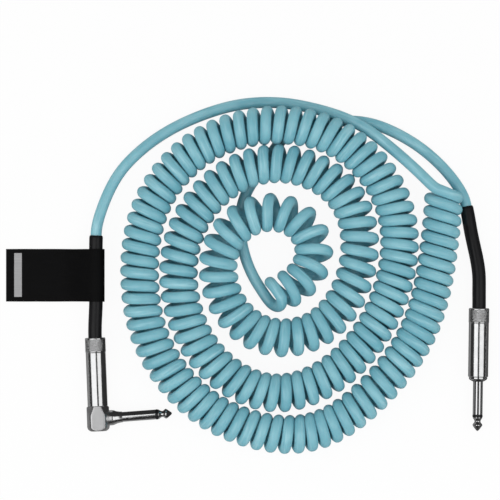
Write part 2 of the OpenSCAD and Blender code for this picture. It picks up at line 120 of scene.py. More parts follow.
class Graph:
    """A node tree that is being wired up."""

    def __init__(self, tree: bpy.types.NodeTree) -> None:
        """Take over a tree and empty it.

        Args:
            tree: the material's or the group's node tree.
        """
        self.tree = tree
        tree.nodes.clear()

    def add(self, kind: str, values: dict | None = None, **settings: object) -> bpy.types.Node:
        """Add a node.

        Args:
            kind: the node's type name.
            values: for each input, by name or index, a socket to link or a value to set.
            settings: the node's own properties.

        Returns:
            The new node.
        """
        node = self.tree.nodes.new(kind)
        for name, value in settings.items():
            setattr(node, name, value)
        for key, value in (values or {}).items():
            self.feed(node.inputs[key], value)
        return node

    def feed(self, socket: Socket, value: object) -> None:
        """Link or set one input.

        Args:
            socket: the input.
            value: a socket of another node, a number, or a colour or vector.
        """
        if isinstance(value, Socket):
            self.tree.links.new(value, socket)
        elif socket.type == "RGBA" and len(value) == 3:
            socket.default_value = (*value, 1.0)
        else:
            socket.default_value = value

    def math(self, operation: str, *values: object, clamp: bool = False) -> Socket:
        """Add a Math node and return its result.

        Args:
            operation: the node's operation.
            values: its inputs in order, each a socket to link or a number.
            clamp: whether the result is held between 0 and 1.

        Returns:
            The result.
        """
        node = self.add("ShaderNodeMath", dict(enumerate(values)), operation=operation)
        node.use_clamp = clamp
        return node.outputs[0]

    def blend(self, share: object, first: object, second: object) -> Socket:
        """Mix two colours by a share from 0 to 1 and return the colour."""
        values = {0: share, 6: first, 7: second}
        return self.add("ShaderNodeMix", values, data_type="RGBA").outputs[2]

    def between(self, value: object, low: object, high: object, smooth: bool = True,
                start: object = 0.0, end: object = 1.0) -> Socket:
        """Map a value from low..high to start..end, held at the ends, and return it.

        Args:
            value: what is mapped.
            low: the value that gives start.
            high: the value that gives end.
            smooth: whether the result eases in and out.
            start: the result at low.
            end: the result at high.

        Returns:
            The mapped value.
        """
        values = {"Value": value, "From Min": low, "From Max": high, "To Min": start, "To Max": end}
        kind = "SMOOTHSTEP" if smooth else "LINEAR"
        node = self.add("ShaderNodeMapRange", values, interpolation_type=kind, clamp=True)
        return node.outputs["Result"]

    def noise(self, vector: object, scale: object, detail: float = 3.0,
              rough: float = 0.5) -> Socket:
        """Add a noise texture and return its value."""
        values = {"Vector": vector, "Scale": scale, "Detail": detail, "Roughness": rough}
        return self.add("ShaderNodeTexNoise", values).outputs["Fac"]

    def place(self) -> Socket:
        """The point on the piece in its own frame, in metres."""
        return self.add("ShaderNodeTexCoord").outputs["Object"]

    def lay(self) -> Socket:
        """The point's place round and along a turned or swept piece."""
        return self.add("ShaderNodeAttribute", attribute_name=LAY).outputs["Vector"]

    def spread(self, value: object, contrast: object) -> Socket:
        """Stretch a value away from a half, hold it between 0 and 1, and return it."""
        centred = self.math("MULTIPLY", self.math("SUBTRACT", value, 0.5), contrast)
        return self.math("ADD", centred, 0.5, clamp=True)

    def scaled(self, colour: object, share: object) -> Socket:
        """Multiply a colour by a number and return the colour."""
        values = {0: colour, "Scale": share}
        return self.add("ShaderNodeVectorMath", values, operation="SCALE").outputs[0]

    def show(self, shader: Socket, kind: str = "ShaderNodeOutputMaterial") -> None:
        """Feed a shader to a new output of the tree."""
        self.feed(self.tree.nodes.new(kind).inputs["Surface"], shader)


def blank_material(name: str) -> tuple[bpy.types.Material, Graph]:
    """Make an empty material.

    Args:
        name: the material's name.

    Returns:
        The material and its graph.
    """
    made = bpy.data.materials.new(name)
    made.use_nodes = True
    return made, Graph(made.node_tree)


class Effect:
    """A surface effect that several finishes share: a node group with named sockets."""

    title = "Effect"
    inputs: dict[str, object] = {}
    outputs: tuple[str, ...] = ("Value",)

    @classmethod
    def tree(cls) -> bpy.types.NodeTree:
        """Return the group, made on first use.

        Returns:
            The node group.
        """
        found = bpy.data.node_groups.get(cls.title)
        if found is not None:
            return found
        tree = bpy.data.node_groups.new(cls.title, "ShaderNodeTree")
        for name, value in cls.inputs.items():
            kind = "NodeSocketVector" if value is None else "NodeSocketFloat"
            socket = tree.interface.new_socket(name=name, in_out="INPUT", socket_type=kind)
            if value is not None:
                socket.default_value = value
        for name in cls.outputs:
            tree.interface.new_socket(name=name, in_out="OUTPUT", socket_type="NodeSocketFloat")
        graph = Graph(tree)
        entry = tree.nodes.new("NodeGroupInput")
        leave = tree.nodes.new("NodeGroupOutput")
        cls.wire(graph, entry.outputs, leave.inputs)
        return tree

    @classmethod
    def on(cls, graph: Graph, **values: object) -> bpy.types.NodeOutputs:
        """Place the effect in a material.

        Args:
            graph: the material's graph.
            values: for each input, in small letters, a socket to link or a value to set.

        Returns:
            The placed group's outputs.
        """
        node = graph.tree.nodes.new("ShaderNodeGroup")
        node.node_tree = cls.tree()
        for name, value in values.items():
            graph.feed(node.inputs[name.capitalize()], value)
        return node.outputs

    @classmethod
    def wire(cls, graph: Graph, given: bpy.types.NodeOutputs, out: bpy.types.NodeInputs) -> None:
        """Fill the group.

        Args:
            graph: the group's graph.
            given: the group's inputs.
            out: the group's outputs.
        """
        raise NotImplementedError


class DrawnStreaks(Effect):
    """Streaks along a piece that was drawn through a die, or round one that was turned; on the
    cord's jacket the broad pale ones are also a painted highlight.
    """

    title = "drawn streaks"
    inputs = {"Lay": None, "Around": 6.0, "Along": 30.0, "Contrast": 1.0}

    @classmethod
    def wire(cls, graph: Graph, given: bpy.types.NodeOutputs, out: bpy.types.NodeInputs) -> None:
        """Stretch a noise by its own scales round and along the piece.

        Args:
            graph: the group's graph.
            given: the group's inputs.
            out: the group's outputs.
        """
        scales = graph.add("ShaderNodeCombineXYZ", {0: given["Around"], 1: given["Around"],
                                                    2: given["Along"]})
        spread = graph.add("ShaderNodeVectorMath", {0: given["Lay"], 1: scales.outputs[0]},
                           operation="MULTIPLY")
        value = graph.noise(spread.outputs[0], 1.0, 4.0, 0.55)
        graph.feed(out["Value"], graph.spread(value, given["Contrast"]))


class Mottle(Effect):
    """Soft cloudy variation of a moulded, dyed or plated surface."""

    title = "soft mottle"
    inputs = {"Place": None, "Size": 0.01, "Contrast": 1.0}

    @classmethod
    def wire(cls, graph: Graph, given: bpy.types.NodeOutputs, out: bpy.types.NodeInputs) -> None:
        """Give a noise of the asked feature size, centred on a half.

        Args:
            graph: the group's graph.
            given: the group's inputs.
            out: the group's outputs.
        """
        value = graph.noise(given["Place"], graph.math("DIVIDE", 1.0, given["Size"]), 3.0, 0.5)
        graph.feed(out["Value"], graph.spread(value, given["Contrast"]))


class Grain(Effect):
    """Fine pebbly grain of an extruded or shrunk plastic, for a bump's height."""

    title = "fine grain"
    inputs = {"Place": None, "Size": 0.0003, "Softness": 0.5}

    @classmethod
    def wire(cls, graph: Graph, given: bpy.types.NodeOutputs, out: bpy.types.NodeInputs) -> None:
        """Mix a fine cell pattern with a coarser noise.

        Args:
            graph: the group's graph.
            given: the group's inputs.
            out: the group's outputs.
        """
        scale = graph.math("DIVIDE", 1.0, given["Size"])
        cells = graph.add("ShaderNodeTexVoronoi", {"Vector": given["Place"], "Scale": scale},
                          feature="SMOOTH_F1")
        coarse = graph.noise(given["Place"], graph.math("MULTIPLY", scale, 0.3), 4.0, 0.6)
        graph.feed(out["Value"], graph.math(
            "ADD", graph.math("MULTIPLY", cells.outputs["Distance"],
                              graph.math("SUBTRACT", 1.0, given["Softness"])),
            graph.math("MULTIPLY", coarse, given["Softness"])))


class EdgeWear(Effect):
    """Where handling has rubbed the edges of a piece, as a mask."""

    title = "edge wear"
    inputs = {"Place": None, "Start": 0.52, "Full": 0.6, "Patch": 0.002}

    @classmethod
    def wire(cls, graph: Graph, given: bpy.types.NodeOutputs, out: bpy.types.NodeInputs) -> None:
        """Break up the pointed places of the mesh with a patchy noise.

        Args:
            graph: the group's graph.
            given: the group's inputs.
            out: the group's outputs.
        """
        edge = graph.add("ShaderNodeNewGeometry").outputs["Pointiness"]
        mask = graph.between(edge, given["Start"], given["Full"])
        patch = graph.noise(given["Place"], graph.math("DIVIDE", 1.0, given["Patch"]), 3.0, 0.6)
        broken = graph.between(patch, 0.35, 0.65)
        graph.feed(out["Value"], graph.math("MULTIPLY", mask, broken, clamp=True))


class HandlingMarks(Effect):
    """Roughness of handled metal: soft smears and fine hairlines over a polish."""

    title = "handling marks"
    inputs = {"Place": None, "Polish": 0.16, "Smear": 0.08, "Hairlines": 0.05}

    @classmethod
    def wire(cls, graph: Graph, given: bpy.types.NodeOutputs, out: bpy.types.NodeInputs) -> None:
        """Add smears at two sizes and stretched hairlines to the polish.

        Args:
            graph: the group's graph.
            given: the group's inputs.
            out: the group's outputs.
        """
        broad = graph.between(graph.noise(given["Place"], 120.0, 4.0, 0.6), 0.42, 0.72)
        turned = graph.add("ShaderNodeMapping", {"Vector": given["Place"],
                                                 "Rotation": (0.4, 0.2, 0.7),
                                                 "Scale": (2600.0, 260.0, 700.0)})
        hair = graph.between(graph.noise(turned.outputs[0], 1.0, 2.0, 0.7), 0.6, 0.78)
        smears = graph.math("MULTIPLY", broad, given["Smear"])
        lines = graph.math("MULTIPLY", hair, given["Hairlines"])
        graph.feed(out["Value"], graph.math(
            "ADD", given["Polish"], graph.math("ADD", smears, lines), clamp=True))


class RibbonWeave(Effect):
    """Woven satin ribbon: the height of its threads, and each thread's shade, a random tone with a
    painted highlight where the thread stands higher.
    """

    title = "ribbon weave"
    inputs = {"Lay": None, "Warp": 0.00016, "Weft": 0.00024}
    outputs = ("Height", "Shade")

    @classmethod
    def wire(cls, graph: Graph, given: bpy.types.NodeOutputs, out: bpy.types.NodeInputs) -> None:
        """Run threads across and along the ribbon, with the weft over a warp in five.

        Args:
            graph: the group's graph.
            given: the group's inputs.
            out: the group's outputs.
        """
        parts = graph.add("ShaderNodeSeparateXYZ", {0: given["Lay"]})
        across = graph.math("DIVIDE", parts.outputs[0], given["Warp"])
        along = graph.math("DIVIDE", parts.outputs[1], given["Weft"])
        warp = graph.math("SINE", graph.math("MULTIPLY", across, math.tau))
        weft = graph.math("SINE", graph.math("MULTIPLY", along, math.tau))
        row = graph.math("MULTIPLY", graph.math("FLOOR", along), 2.0)
        step = graph.math("MODULO", graph.math("ADD", graph.math("FLOOR", across), row), 5.0)
        tied = graph.math("LESS_THAN", step, 1.0)
        threads = graph.math("ADD", graph.math("MULTIPLY", warp, 0.5),
                             graph.math("MULTIPLY", weft, 0.22))
        height = graph.math("SUBTRACT", threads, graph.math("MULTIPLY", tied, 0.6))
        graph.feed(out["Height"], height)
        flat = graph.add("ShaderNodeCombineXYZ", {0: graph.math("FLOOR", across),
                                                  1: graph.math("MULTIPLY", along, 0.02)})
        tint = graph.add("ShaderNodeTexNoise", {"Vector": flat.outputs[0], "Scale": 0.7})
        # Shade: a random tone for each thread plus a painted highlight, lighter where the weave
        # stands higher
        graph.feed(out["Shade"], graph.math("ADD", tint.outputs["Fac"],
                                            graph.math("MULTIPLY", height, 0.12)))


# ---- Finishes ----


@dataclass(frozen=True)
class Finish:
    """A finish: what a surface is made of. Subclasses wire their own nodes."""

    name: str
    slot: Slot

    def material(self) -> bpy.types.Material:
        """Return the finish's material, made on first use.

        Returns:
            The material.
        """
        found = bpy.data.materials.get(self.name)
        if found is not None:
            return found
        made, graph = blank_material(self.name)
        shader = graph.tree.nodes.new("ShaderNodeBsdfPrincipled")
        graph.show(shader.outputs[0])
        self.wire(graph, shader.inputs)
        return made

    def wire(self, graph: Graph, shader: bpy.types.NodeInputs) -> None:
        """Wire the finish into the shader's sockets.

        Args:
            graph: the material's graph.
            shader: the Principled shader's inputs.
        """
        raise NotImplementedError

    def bump(self, graph: Graph, shader: bpy.types.NodeInputs, height: object, depth: float,
             strength: float = 1.0) -> None:
        """Feed a bump of the given depth in metres to the shader's normal.

        Args:
            graph: the material's graph.
            shader: the Principled shader's inputs.
            height: the height, from 0 to about 1.
            depth: how deep a height of 1 is, in metres.
            strength: how strongly the bump shows.
        """
        node = graph.add("ShaderNodeBump", {"Height": height, "Distance": depth,
                                            "Strength": strength})
        graph.feed(shader["Normal"], node.outputs[0])


@dataclass(frozen=True)
class JacketFinish(Finish):
    """Satin plastic jacket of the cord, drawn lengthways, with paler streaks along it that are
    partly drawn lines and partly a painted highlight.
    """

    colour: Colour = (0.275, 0.585, 0.665)
    deep: Colour = (0.195, 0.490, 0.580)
    # Colour of the broad streaks: partly drawn lines in the plastic, partly a painted highlight
    pale: Colour = (0.380, 0.685, 0.760)
    rough: float = 0.36

    def wire(self, graph: Graph, shader: bpy.types.NodeInputs) -> None:
        """Tint the colour by broad pale streaks, partly a painted highlight, and the roughness and
        bump by fine ones.

        Args:
            graph: the material's graph.
            shader: the Principled shader's inputs.
        """
        lay = graph.lay()
        broad = DrawnStreaks.on(graph, lay=lay, around=1.6, along=55.0, contrast=1.5)[0]
        fine = DrawnStreaks.on(graph, lay=lay, around=9.0, along=90.0, contrast=1.7)[0]
        cloud = Mottle.on(graph, place=graph.place(), size=0.02, contrast=1.3)[0]
        tinted = graph.blend(graph.between(cloud, 0.25, 0.8), self.deep, self.colour)
        # Broad pale streaks at random round and along the cord: partly drawn lines, partly a
        # painted highlight
        streaked_with_painted_highlight = graph.blend(graph.between(broad, 0.45, 0.95), tinted, self.pale)
        darkened = graph.blend(graph.between(fine, 0.42, 0.05), streaked_with_painted_highlight, self.deep)
        graph.feed(shader["Base Color"], darkened)
        graph.feed(shader["Roughness"], graph.between(fine, 0.2, 0.8, False, self.rough - 0.07,
                                                      self.rough + 0.1))
        shader["Specular IOR Level"].default_value = 0.75
        shader["Coat Weight"].default_value = 0.15
        shader["Coat Roughness"].default_value = 0.25
        shader["Subsurface Weight"].default_value = 0.45
        shader["Subsurface Radius"].default_value = (0.6, 1.0, 1.0)
        shader["Subsurface Scale"].default_value = 0.003
        grain = Grain.on(graph, place=graph.place(), size=0.0004, softness=0.7)[0]
        height = graph.math("ADD", fine, graph.math("MULTIPLY", grain, 0.25))
        self.bump(graph, shader, height, 0.00006, 0.55)


@dataclass(frozen=True)
class ShrinkFinish(Finish):
    """Black heat-shrink: satin, finely grained, rubbed paler at its lip."""

    colour: Colour = (0.006, 0.006, 0.0068)
    rubbed: Colour = (0.03, 0.03, 0.033)

    def wire(self, graph: Graph, shader: bpy.types.NodeInputs) -> None:
        """Mottle the black, wear its edges and give it a shrunk grain.

        Args:
            graph: the material's graph.
            shader: the Principled shader's inputs.
        """
        place = graph.place()
        cloud = Mottle.on(graph, place=place, size=0.006, contrast=1.5)[0]
        wear = EdgeWear.on(graph, place=place, start=0.53, full=0.62, patch=0.0012)[0]
        base = graph.blend(cloud, self.colour, tuple(1.7 * c for c in self.colour))
        graph.feed(shader["Base Color"], graph.blend(
            graph.math("MULTIPLY", wear, 0.6), base, self.rubbed))
        graph.feed(shader["Roughness"], graph.between(cloud, 0.2, 0.8, False, 0.3, 0.42))
        shader["Specular IOR Level"].default_value = 0.3
        grain = Grain.on(graph, place=place, size=0.00028, softness=0.45)[0]
        lines = DrawnStreaks.on(graph, lay=graph.lay(), around=7.0, along=60.0, contrast=1.6)[0]
        height = graph.math("ADD", grain, graph.math("MULTIPLY", lines, 0.6))
        self.bump(graph, shader, height, 0.00005, 0.5)


@dataclass(frozen=True)
class MetalFinish(Finish):
    """Plated or bare metal with a polish, a tint at grazing angles, turning lines and smears."""

    colour: Colour
    polish: float
    rim: float = 0.5
    turned: float = 0.0
    smear: float = 0.07
    dull: Colour | None = None

    def tint(self, graph: Graph, colour: Socket) -> Socket:
        """The plate's colour, which a subclass may vary over the piece."""
        return colour

    def gloss(self, graph: Graph) -> object:
        """The plate's roughness before handling, which a subclass may vary over the piece."""
        return self.polish

    def wire(self, graph: Graph, shader: bpy.types.NodeInputs) -> None:
        """Vary the plate's tint and polish, and cut fine turning lines where asked.

        Args:
            graph: the material's graph.
            shader: the Principled shader's inputs.
        """
        place = graph.place()
        cloud = Mottle.on(graph, place=place, size=0.004, contrast=1.6)[0]
        dull = self.dull or tuple(0.9 * c for c in self.colour)
        graph.feed(shader["Base Color"], self.tint(graph, graph.blend(cloud, self.colour, dull)))
        shader["Metallic"].default_value = 1.0
        shader["Specular Tint"].default_value = (self.rim, self.rim, self.rim, 1.0)
        rough = HandlingMarks.on(graph, place=place, polish=self.gloss(graph), smear=self.smear,
                                 hairlines=0.05)[0]
        graph.feed(shader["Roughness"], rough)
        if self.turned > 0:
            lines = DrawnStreaks.on(graph, lay=graph.lay(), around=0.7, along=9000.0,
                                    contrast=1.8)[0]
            self.bump(graph, shader, lines, self.turned, 0.5)
        else:
            grain = Grain.on(graph, place=place, size=0.0005, softness=0.6)[0]
            self.bump(graph, shader, grain, 0.00001, 0.4)


@dataclass(frozen=True)
class HeadFinish(MetalFinish):
    """Satin plate of the angled plug's head, whose turned neck is polished like the shaft."""

    neck: Colour = (0.83, 0.835, 0.84)
    neck_polish: float = 0.15
    neck_start: float = -0.0893
    neck_soft: float = 0.0002

    def on_neck(self, graph: Graph) -> Socket:
        """1 on the neck and 0 on the bar, by the place across the plug.

        Args:
            graph: the material's graph.

        Returns:
            The mask.
        """
        across = graph.add("ShaderNodeSeparateXYZ", {0: graph.place()}).outputs[0]
        return graph.between(across, self.neck_start - self.neck_soft,
                             self.neck_start + self.neck_soft)

    def tint(self, graph: Graph, colour: Socket) -> Socket:
        """Brighten the neck."""
        return graph.blend(self.on_neck(graph), colour, self.neck)

    def gloss(self, graph: Graph) -> object:
        """Polish the neck."""
        return graph.between(self.on_neck(graph), 0.0, 1.0, False, self.polish, self.neck_polish)


@dataclass(frozen=True)
class MouldedFinish(Finish):
    """Plain moulded or pressed insulating material."""

    colour: Colour
    rough: float = 0.4
    grain: float = 0.0003

    def wire(self, graph: Graph, shader: bpy.types.NodeInputs) -> None:
        """Mottle the colour and the roughness, and grain the surface.

        Args:
            graph: the material's graph.
            shader: the Principled shader's inputs.
        """
        place = graph.place()
        cloud = Mottle.on(graph, place=place, size=0.002, contrast=1.6)[0]
        wear = EdgeWear.on(graph, place=place, start=0.54, full=0.64, patch=0.0008)[0]
        base = graph.blend(cloud, self.colour, tuple(0.72 * c for c in self.colour))
        pale = tuple(min(1.0, 1.8 * c + 0.03) for c in self.colour)
        graph.feed(shader["Base Color"], graph.blend(
            graph.math("MULTIPLY", wear, 0.5), base, pale))
        graph.feed(shader["Roughness"], graph.between(cloud, 0.2, 0.8, False, self.rough - 0.06,
                                                      self.rough + 0.08))
        grain = Grain.on(graph, place=place, size=self.grain, softness=0.5)[0]
        self.bump(graph, shader, grain, 0.00003, 0.5)


@dataclass(frozen=True)
class ClearFinish(Finish):
    """Clear plastic tube, slightly frosted."""

    colour: Colour = (0.86, 0.91, 0.93)

    def wire(self, graph: Graph, shader: bpy.types.NodeInputs) -> None:
        """Let light through, with drawn lines in its polish.

        Args:
            graph: the material's graph.
            shader: the Principled shader's inputs.
        """
        cloud = Mottle.on(graph, place=graph.place(), size=0.003, contrast=1.4)[0]
        graph.feed(shader["Base Color"], graph.blend(cloud, self.colour, (0.8, 0.87, 0.9)))
        graph.feed(shader["Roughness"], graph.between(cloud, 0.2, 0.8, False, 0.1, 0.24))
        shader["Transmission Weight"].default_value = 0.85
        shader["IOR"].default_value = 1.46


@dataclass(frozen=True)
class RibbonFinish(Finish):
    """Black woven ribbon with a pale bar woven across it near its upper end."""

    length: float = 0.13
    width: float = 0.034
    bar_start: float = 0.0053
    bar_width: float = 0.0049
    bar_top: float = 0.0026
    bar_bottom: float = 0.0030
    colour: Colour = (0.0032, 0.0032, 0.0035)
    bar: Colour = (0.40, 0.40, 0.405)
    thread: float = 0.00008

    def wire(self, graph: Graph, shader: bpy.types.NodeInputs) -> None:
        """Weave the ribbon, and lay the bar in by the place along and across it.

        Args:
            graph: the material's graph.
            shader: the Principled shader's inputs.
        """
        lay = graph.lay()
        parts = graph.add("ShaderNodeSeparateXYZ", {0: lay})
        across, along, face = (parts.outputs[i] for i in range(3))
        weave = RibbonWeave.on(graph, lay=lay)
        thread = self.thread
        ragged = graph.noise(lay, 5200.0, 2.0, 0.6)
        edge = graph.math("MULTIPLY", graph.math("SUBTRACT", ragged, 0.5), 0.00035)
        from_end = graph.math("SUBTRACT", self.length, graph.math("ADD", along, edge))
        far = graph.between(from_end, self.bar_start - thread, self.bar_start + thread)
        stop = self.bar_start + self.bar_width
        near = graph.between(from_end, stop + thread, stop - thread)
        half = self.width / 2
        side = graph.math("ADD", across, edge)
        top = graph.between(side, half - self.bar_top + thread, half - self.bar_top - thread)
        bottom = -half + self.bar_bottom
        low = graph.between(side, bottom - thread, bottom + thread)
        outside = graph.math("GREATER_THAN", face, 0.5)
        bar = graph.math("MULTIPLY", graph.math("MULTIPLY", far, near),
                         graph.math("MULTIPLY", graph.math("MULTIPLY", top, low), outside))
        # The weave's shade, with its painted highlight on raised threads, scales the black and the
        # bar
        shade = graph.between(weave["Shade"], 0.25, 0.75, False, 0.62, 1.5)
        black = graph.scaled(self.colour, shade)
        pale = graph.scaled(self.bar, graph.between(weave["Shade"], 0.25, 0.75, False, 0.86, 1.08))
        graph.feed(shader["Base Color"], graph.blend(bar, black, pale))
        graph.feed(shader["Roughness"], graph.between(weave["Shade"], 0.2, 0.8, False, 0.44, 0.6))
        shader["Specular IOR Level"].default_value = 0.1
        height = graph.math("ADD", weave["Height"], graph.math("MULTIPLY", bar, 0.8))
        self.bump(graph, shader, height, 0.00004, 0.6)


JACKET = JacketFinish("cord jacket", Slot.CORD)
SHRINK = ShrinkFinish("heat shrink", Slot.SLEEVE)
SHELL_PLATE = MetalFinish("shell nickel plate", Slot.SHELL, (0.84, 0.845, 0.85), 0.14,
                          rim=0.6, turned=0.000003, smear=0.05)
CONTACT_PLATE = MetalFinish("contact nickel plate", Slot.CONTACT, (0.83, 0.835, 0.84), 0.08,
                            rim=0.6, turned=0.000001, smear=0.03)
HEAD_PLATE = HeadFinish("head satin plate", Slot.HEAD, (0.72, 0.723, 0.727), 0.30, rim=0.6)
INSULATOR = MouldedFinish("black insulating ring", Slot.INSULATOR, (0.012, 0.012, 0.013), 0.3)
FIBRE = MouldedFinish("fibre washer", Slot.WASHER, (0.045, 0.024, 0.016), 0.7, 0.0002)
CORE = MouldedFinish("core insulation", Slot.CORE, (0.70, 0.66, 0.56), 0.5)
BRASS = MetalFinish("pressed brass", Slot.LUG, (0.72, 0.52, 0.22), 0.28, rim=0.6,
                    dull=(0.55, 0.38, 0.17))
COPPER = MetalFinish("bare copper", Slot.WIRE, (0.80, 0.42, 0.25), 0.3, rim=0.6,
                     dull=(0.55, 0.25, 0.14))
TIN = MetalFinish("soft solder", Slot.SOLDER, (0.62, 0.63, 0.65), 0.34, rim=0.7)
CLEAR = ClearFinish("clear tube plastic", Slot.TUBE)


# ---- Meshes ----


def unit(vectors: Points) -> Points:
    """Vectors scaled to a length of one."""
    vectors = np.asarray(vectors, float)
    return vectors / np.linalg.norm(vectors, axis=-1, keepdims=True)


def linked(name: str, data: bpy.types.ID) -> Piece:
    """Make an object of its data and link it to the scene.

    Args:
        name: the object's name.
        data: its mesh, lamp or camera.

    Returns:
        The object.
    """
    made = bpy.data.objects.new(name, data)
    bpy.context.scene.collection.objects.link(made)
    return made


def mesh_object(name: str, points: Points, faces: Sequence[Sequence[int]], lay: Points | None,
                finish: Finish, sharp: float = SHARP_EDGE) -> Piece:
    """Make a piece from points in millimetres.

    Args:
        name: the piece's name.
        points: its vertices, in millimetres.
        faces: the vertex numbers of each face.
        lay: each vertex's place round and along the piece, or None.
        finish: its finish.
        sharp: the angle in degrees above which an edge stays sharp.

    Returns:
        The object, linked to the scene, with its finish's material.
    """
    mesh = bpy.data.meshes.new(name)
    mesh.from_pydata((np.asarray(points) * MM).tolist(), [], faces)
    mesh.validate()
    if lay is not None and len(lay) == len(mesh.vertices):
        attribute = mesh.attributes.new(LAY, "FLOAT_VECTOR", "POINT")
        attribute.data.foreach_set("vector", np.asarray(lay, np.float32).ravel())
    mesh.shade_smooth()
    mesh.set_sharp_from_angle(angle=math.radians(sharp))
    mesh.materials.append(finish.material())
    made = linked(name, mesh)
    return made


def ring_faces(rings: int, sides: int, closed: bool) -> list[tuple[int, ...]]:
    """Quads between neighbouring rings, facing outwards; closed joins the last to the first.

    Args:
        rings: how many rings there are.
        sides: how many vertices a ring has.
        closed: whether the last ring joins the first.

    Returns:
        The vertex numbers of each face.
    """
    faces = []
    for i in range(rings if closed else rings - 1):
        first, second = i * sides, (i + 1) % rings * sides
        for k in range(sides):
            after = (k + 1) % sides
            faces.append((first + k, first + after, second + after, second + k))
    return faces


def lathe(name: str, outline: Points, finish: Finish, place: Matrix, segments: int = 96,
          relief: Relief | None = None, closed: bool = True) -> Piece:
    """Turn an outline round +Z.

    Args:
        name: the piece's name.
        outline: (radius, height) pairs in millimetres. Seen with the radius to the right, it
            runs up the outside.
        finish: its finish.
        place: where the piece's own frame stands, in millimetres.
        segments: how many sides it has.
        relief: what knurls, threads and flats make of the radius, from angle, height and radius.
        closed: True for a ring with a bore, False where the outline starts and ends on the axis.

    Returns:
        The piece.
    """
    outline = np.asarray(outline, float)
    angles = np.arange(segments) * math.tau / segments
    radius = np.repeat(outline[:, :1], segments, axis=1)
    height = np.repeat(outline[:, 1:], segments, axis=1)
    if relief is not None:
        radius = relief(angles[None, :], height, radius)
    points = np.stack([radius * np.cos(angles), radius * np.sin(angles), height], axis=-1)
    lay = np.stack([np.cos(angles) + 0 * height, np.sin(angles) + 0 * height, height * MM], axis=-1)
    points, lay = points.reshape(-1, 3), lay.reshape(-1, 3)
    faces = ring_faces(len(outline), segments, closed)
    if not closed:
        points, lay, faces = with_poles(points, lay, faces, len(outline), segments)
    world = np.array(place)
    points = points @ world[:3, :3].T + world[:3, 3]
    return mesh_object(name, points, faces, lay, finish)


def with_poles(points: Points, lay: Points, faces: list[tuple[int, ...]], rings: int,
               segments: int) -> tuple[Points, Points, list[tuple[int, ...]]]:
    """Replace the first and last rings, which lie on the axis, by one point each.

    Args:
        points: all vertices, ring by ring.
        lay: the same vertices' places round and along.
        faces: quads between the rings.
        rings: how many rings there are.
        segments: how many vertices a ring has.

    Returns:
        The new vertices, places and faces.
    """
    last = (rings - 2) * segments + 1
    inner = slice(segments - 1, (rings - 1) * segments + 1)
    kept = points[inner].copy()
    kept_lay = lay[inner].copy()
    kept[0], kept[-1] = points[0], points[-1]
    made = []
    for face in faces:
        moved = []
        for index in face:
            index = min(max(index - segments + 1, 0), last)
            if index not in moved:
                moved.append(index)
        made.append(tuple(moved))
    return kept, kept_lay, made


# The largest share of a side that a fillet takes, and that it takes with its guard point
FILLET_SHARE, GUARD_SHARE = 0.46, 0.48


def filleted(corners: Sequence[tuple[float, ...]], closed: bool = True, steps: int = 4,
             guard: float = 0.12) -> Points:
    """Round the corners of an outline.

    Args:
        corners: (radius, height) or (radius, height, fillet) in millimetres.
        closed: whether the last corner joins the first.
        steps: how many pieces each fillet has.
        guard: how far beyond a fillet an extra point keeps the shading of long faces true.

    Returns:
        The outline's points.
    """
    made: list[Points] = []
    count = len(corners)
    for i, corner in enumerate(corners):
        here = np.array(corner[:2], float)
        fillet = corner[2] if len(corner) > 2 else 0.0
        if fillet <= 0 or (not closed and i in (0, count - 1)):
            made.append(here)
            continue
        back = np.array(corners[i - 1][:2], float) - here
        ahead = np.array(corners[(i + 1) % count][:2], float) - here
        long_back, long_ahead = np.linalg.norm(back), np.linalg.norm(ahead)
        back, ahead = back / long_back, ahead / long_ahead
        half = math.acos(float(np.clip(back @ ahead, -1, 1))) / 2
        reach = min(fillet / math.tan(half), FILLET_SHARE * long_back, FILLET_SHARE * long_ahead)
        size = reach * math.tan(half)
        centre = here + unit(back + ahead) * size / math.sin(half)
        start, end = here + back * reach, here + ahead * reach
        if reach + guard < GUARD_SHARE * long_back:
            made.append(start + back * guard)
        turn = math.pi - 2 * half
        arm = start - centre
        cross = back[0] * ahead[1] - back[1] * ahead[0]
        sign = -1.0 if cross > 0 else 1.0
        for k in range(steps + 1):
            angle = -sign * turn * k / steps
            cos, sin = math.cos(angle), math.sin(angle)
            made.append(centre + np.array([cos * arm[0] + sin * arm[1],
                                           -sin * arm[0] + cos * arm[1]]))
        made[-1] = end
        if reach + guard < GUARD_SHARE * long_ahead:
            made.append(end + ahead * guard)
    return np.array(made)


def divided(start: tuple[float, float], end: tuple[float, float], count: int) -> list[tuple]:
    """Points on a straight line between two outline points, both left out.

    Args:
        start: the first of the two, (radius, height) in millimetres.
        end: the second.
        count: how many points to make.

    Returns:
        The new points.
    """
    shares = [(k + 1) / (count + 1) for k in range(count)]
    return [(start[0] + f * (end[0] - start[0]), start[1] + f * (end[1] - start[1]))
            for f in shares]


def distances(line: Points) -> Points:
    """Distance of each point of a line from its start."""
    return np.concatenate([[0.0], np.cumsum(np.linalg.norm(np.diff(line, axis=0), axis=1))])


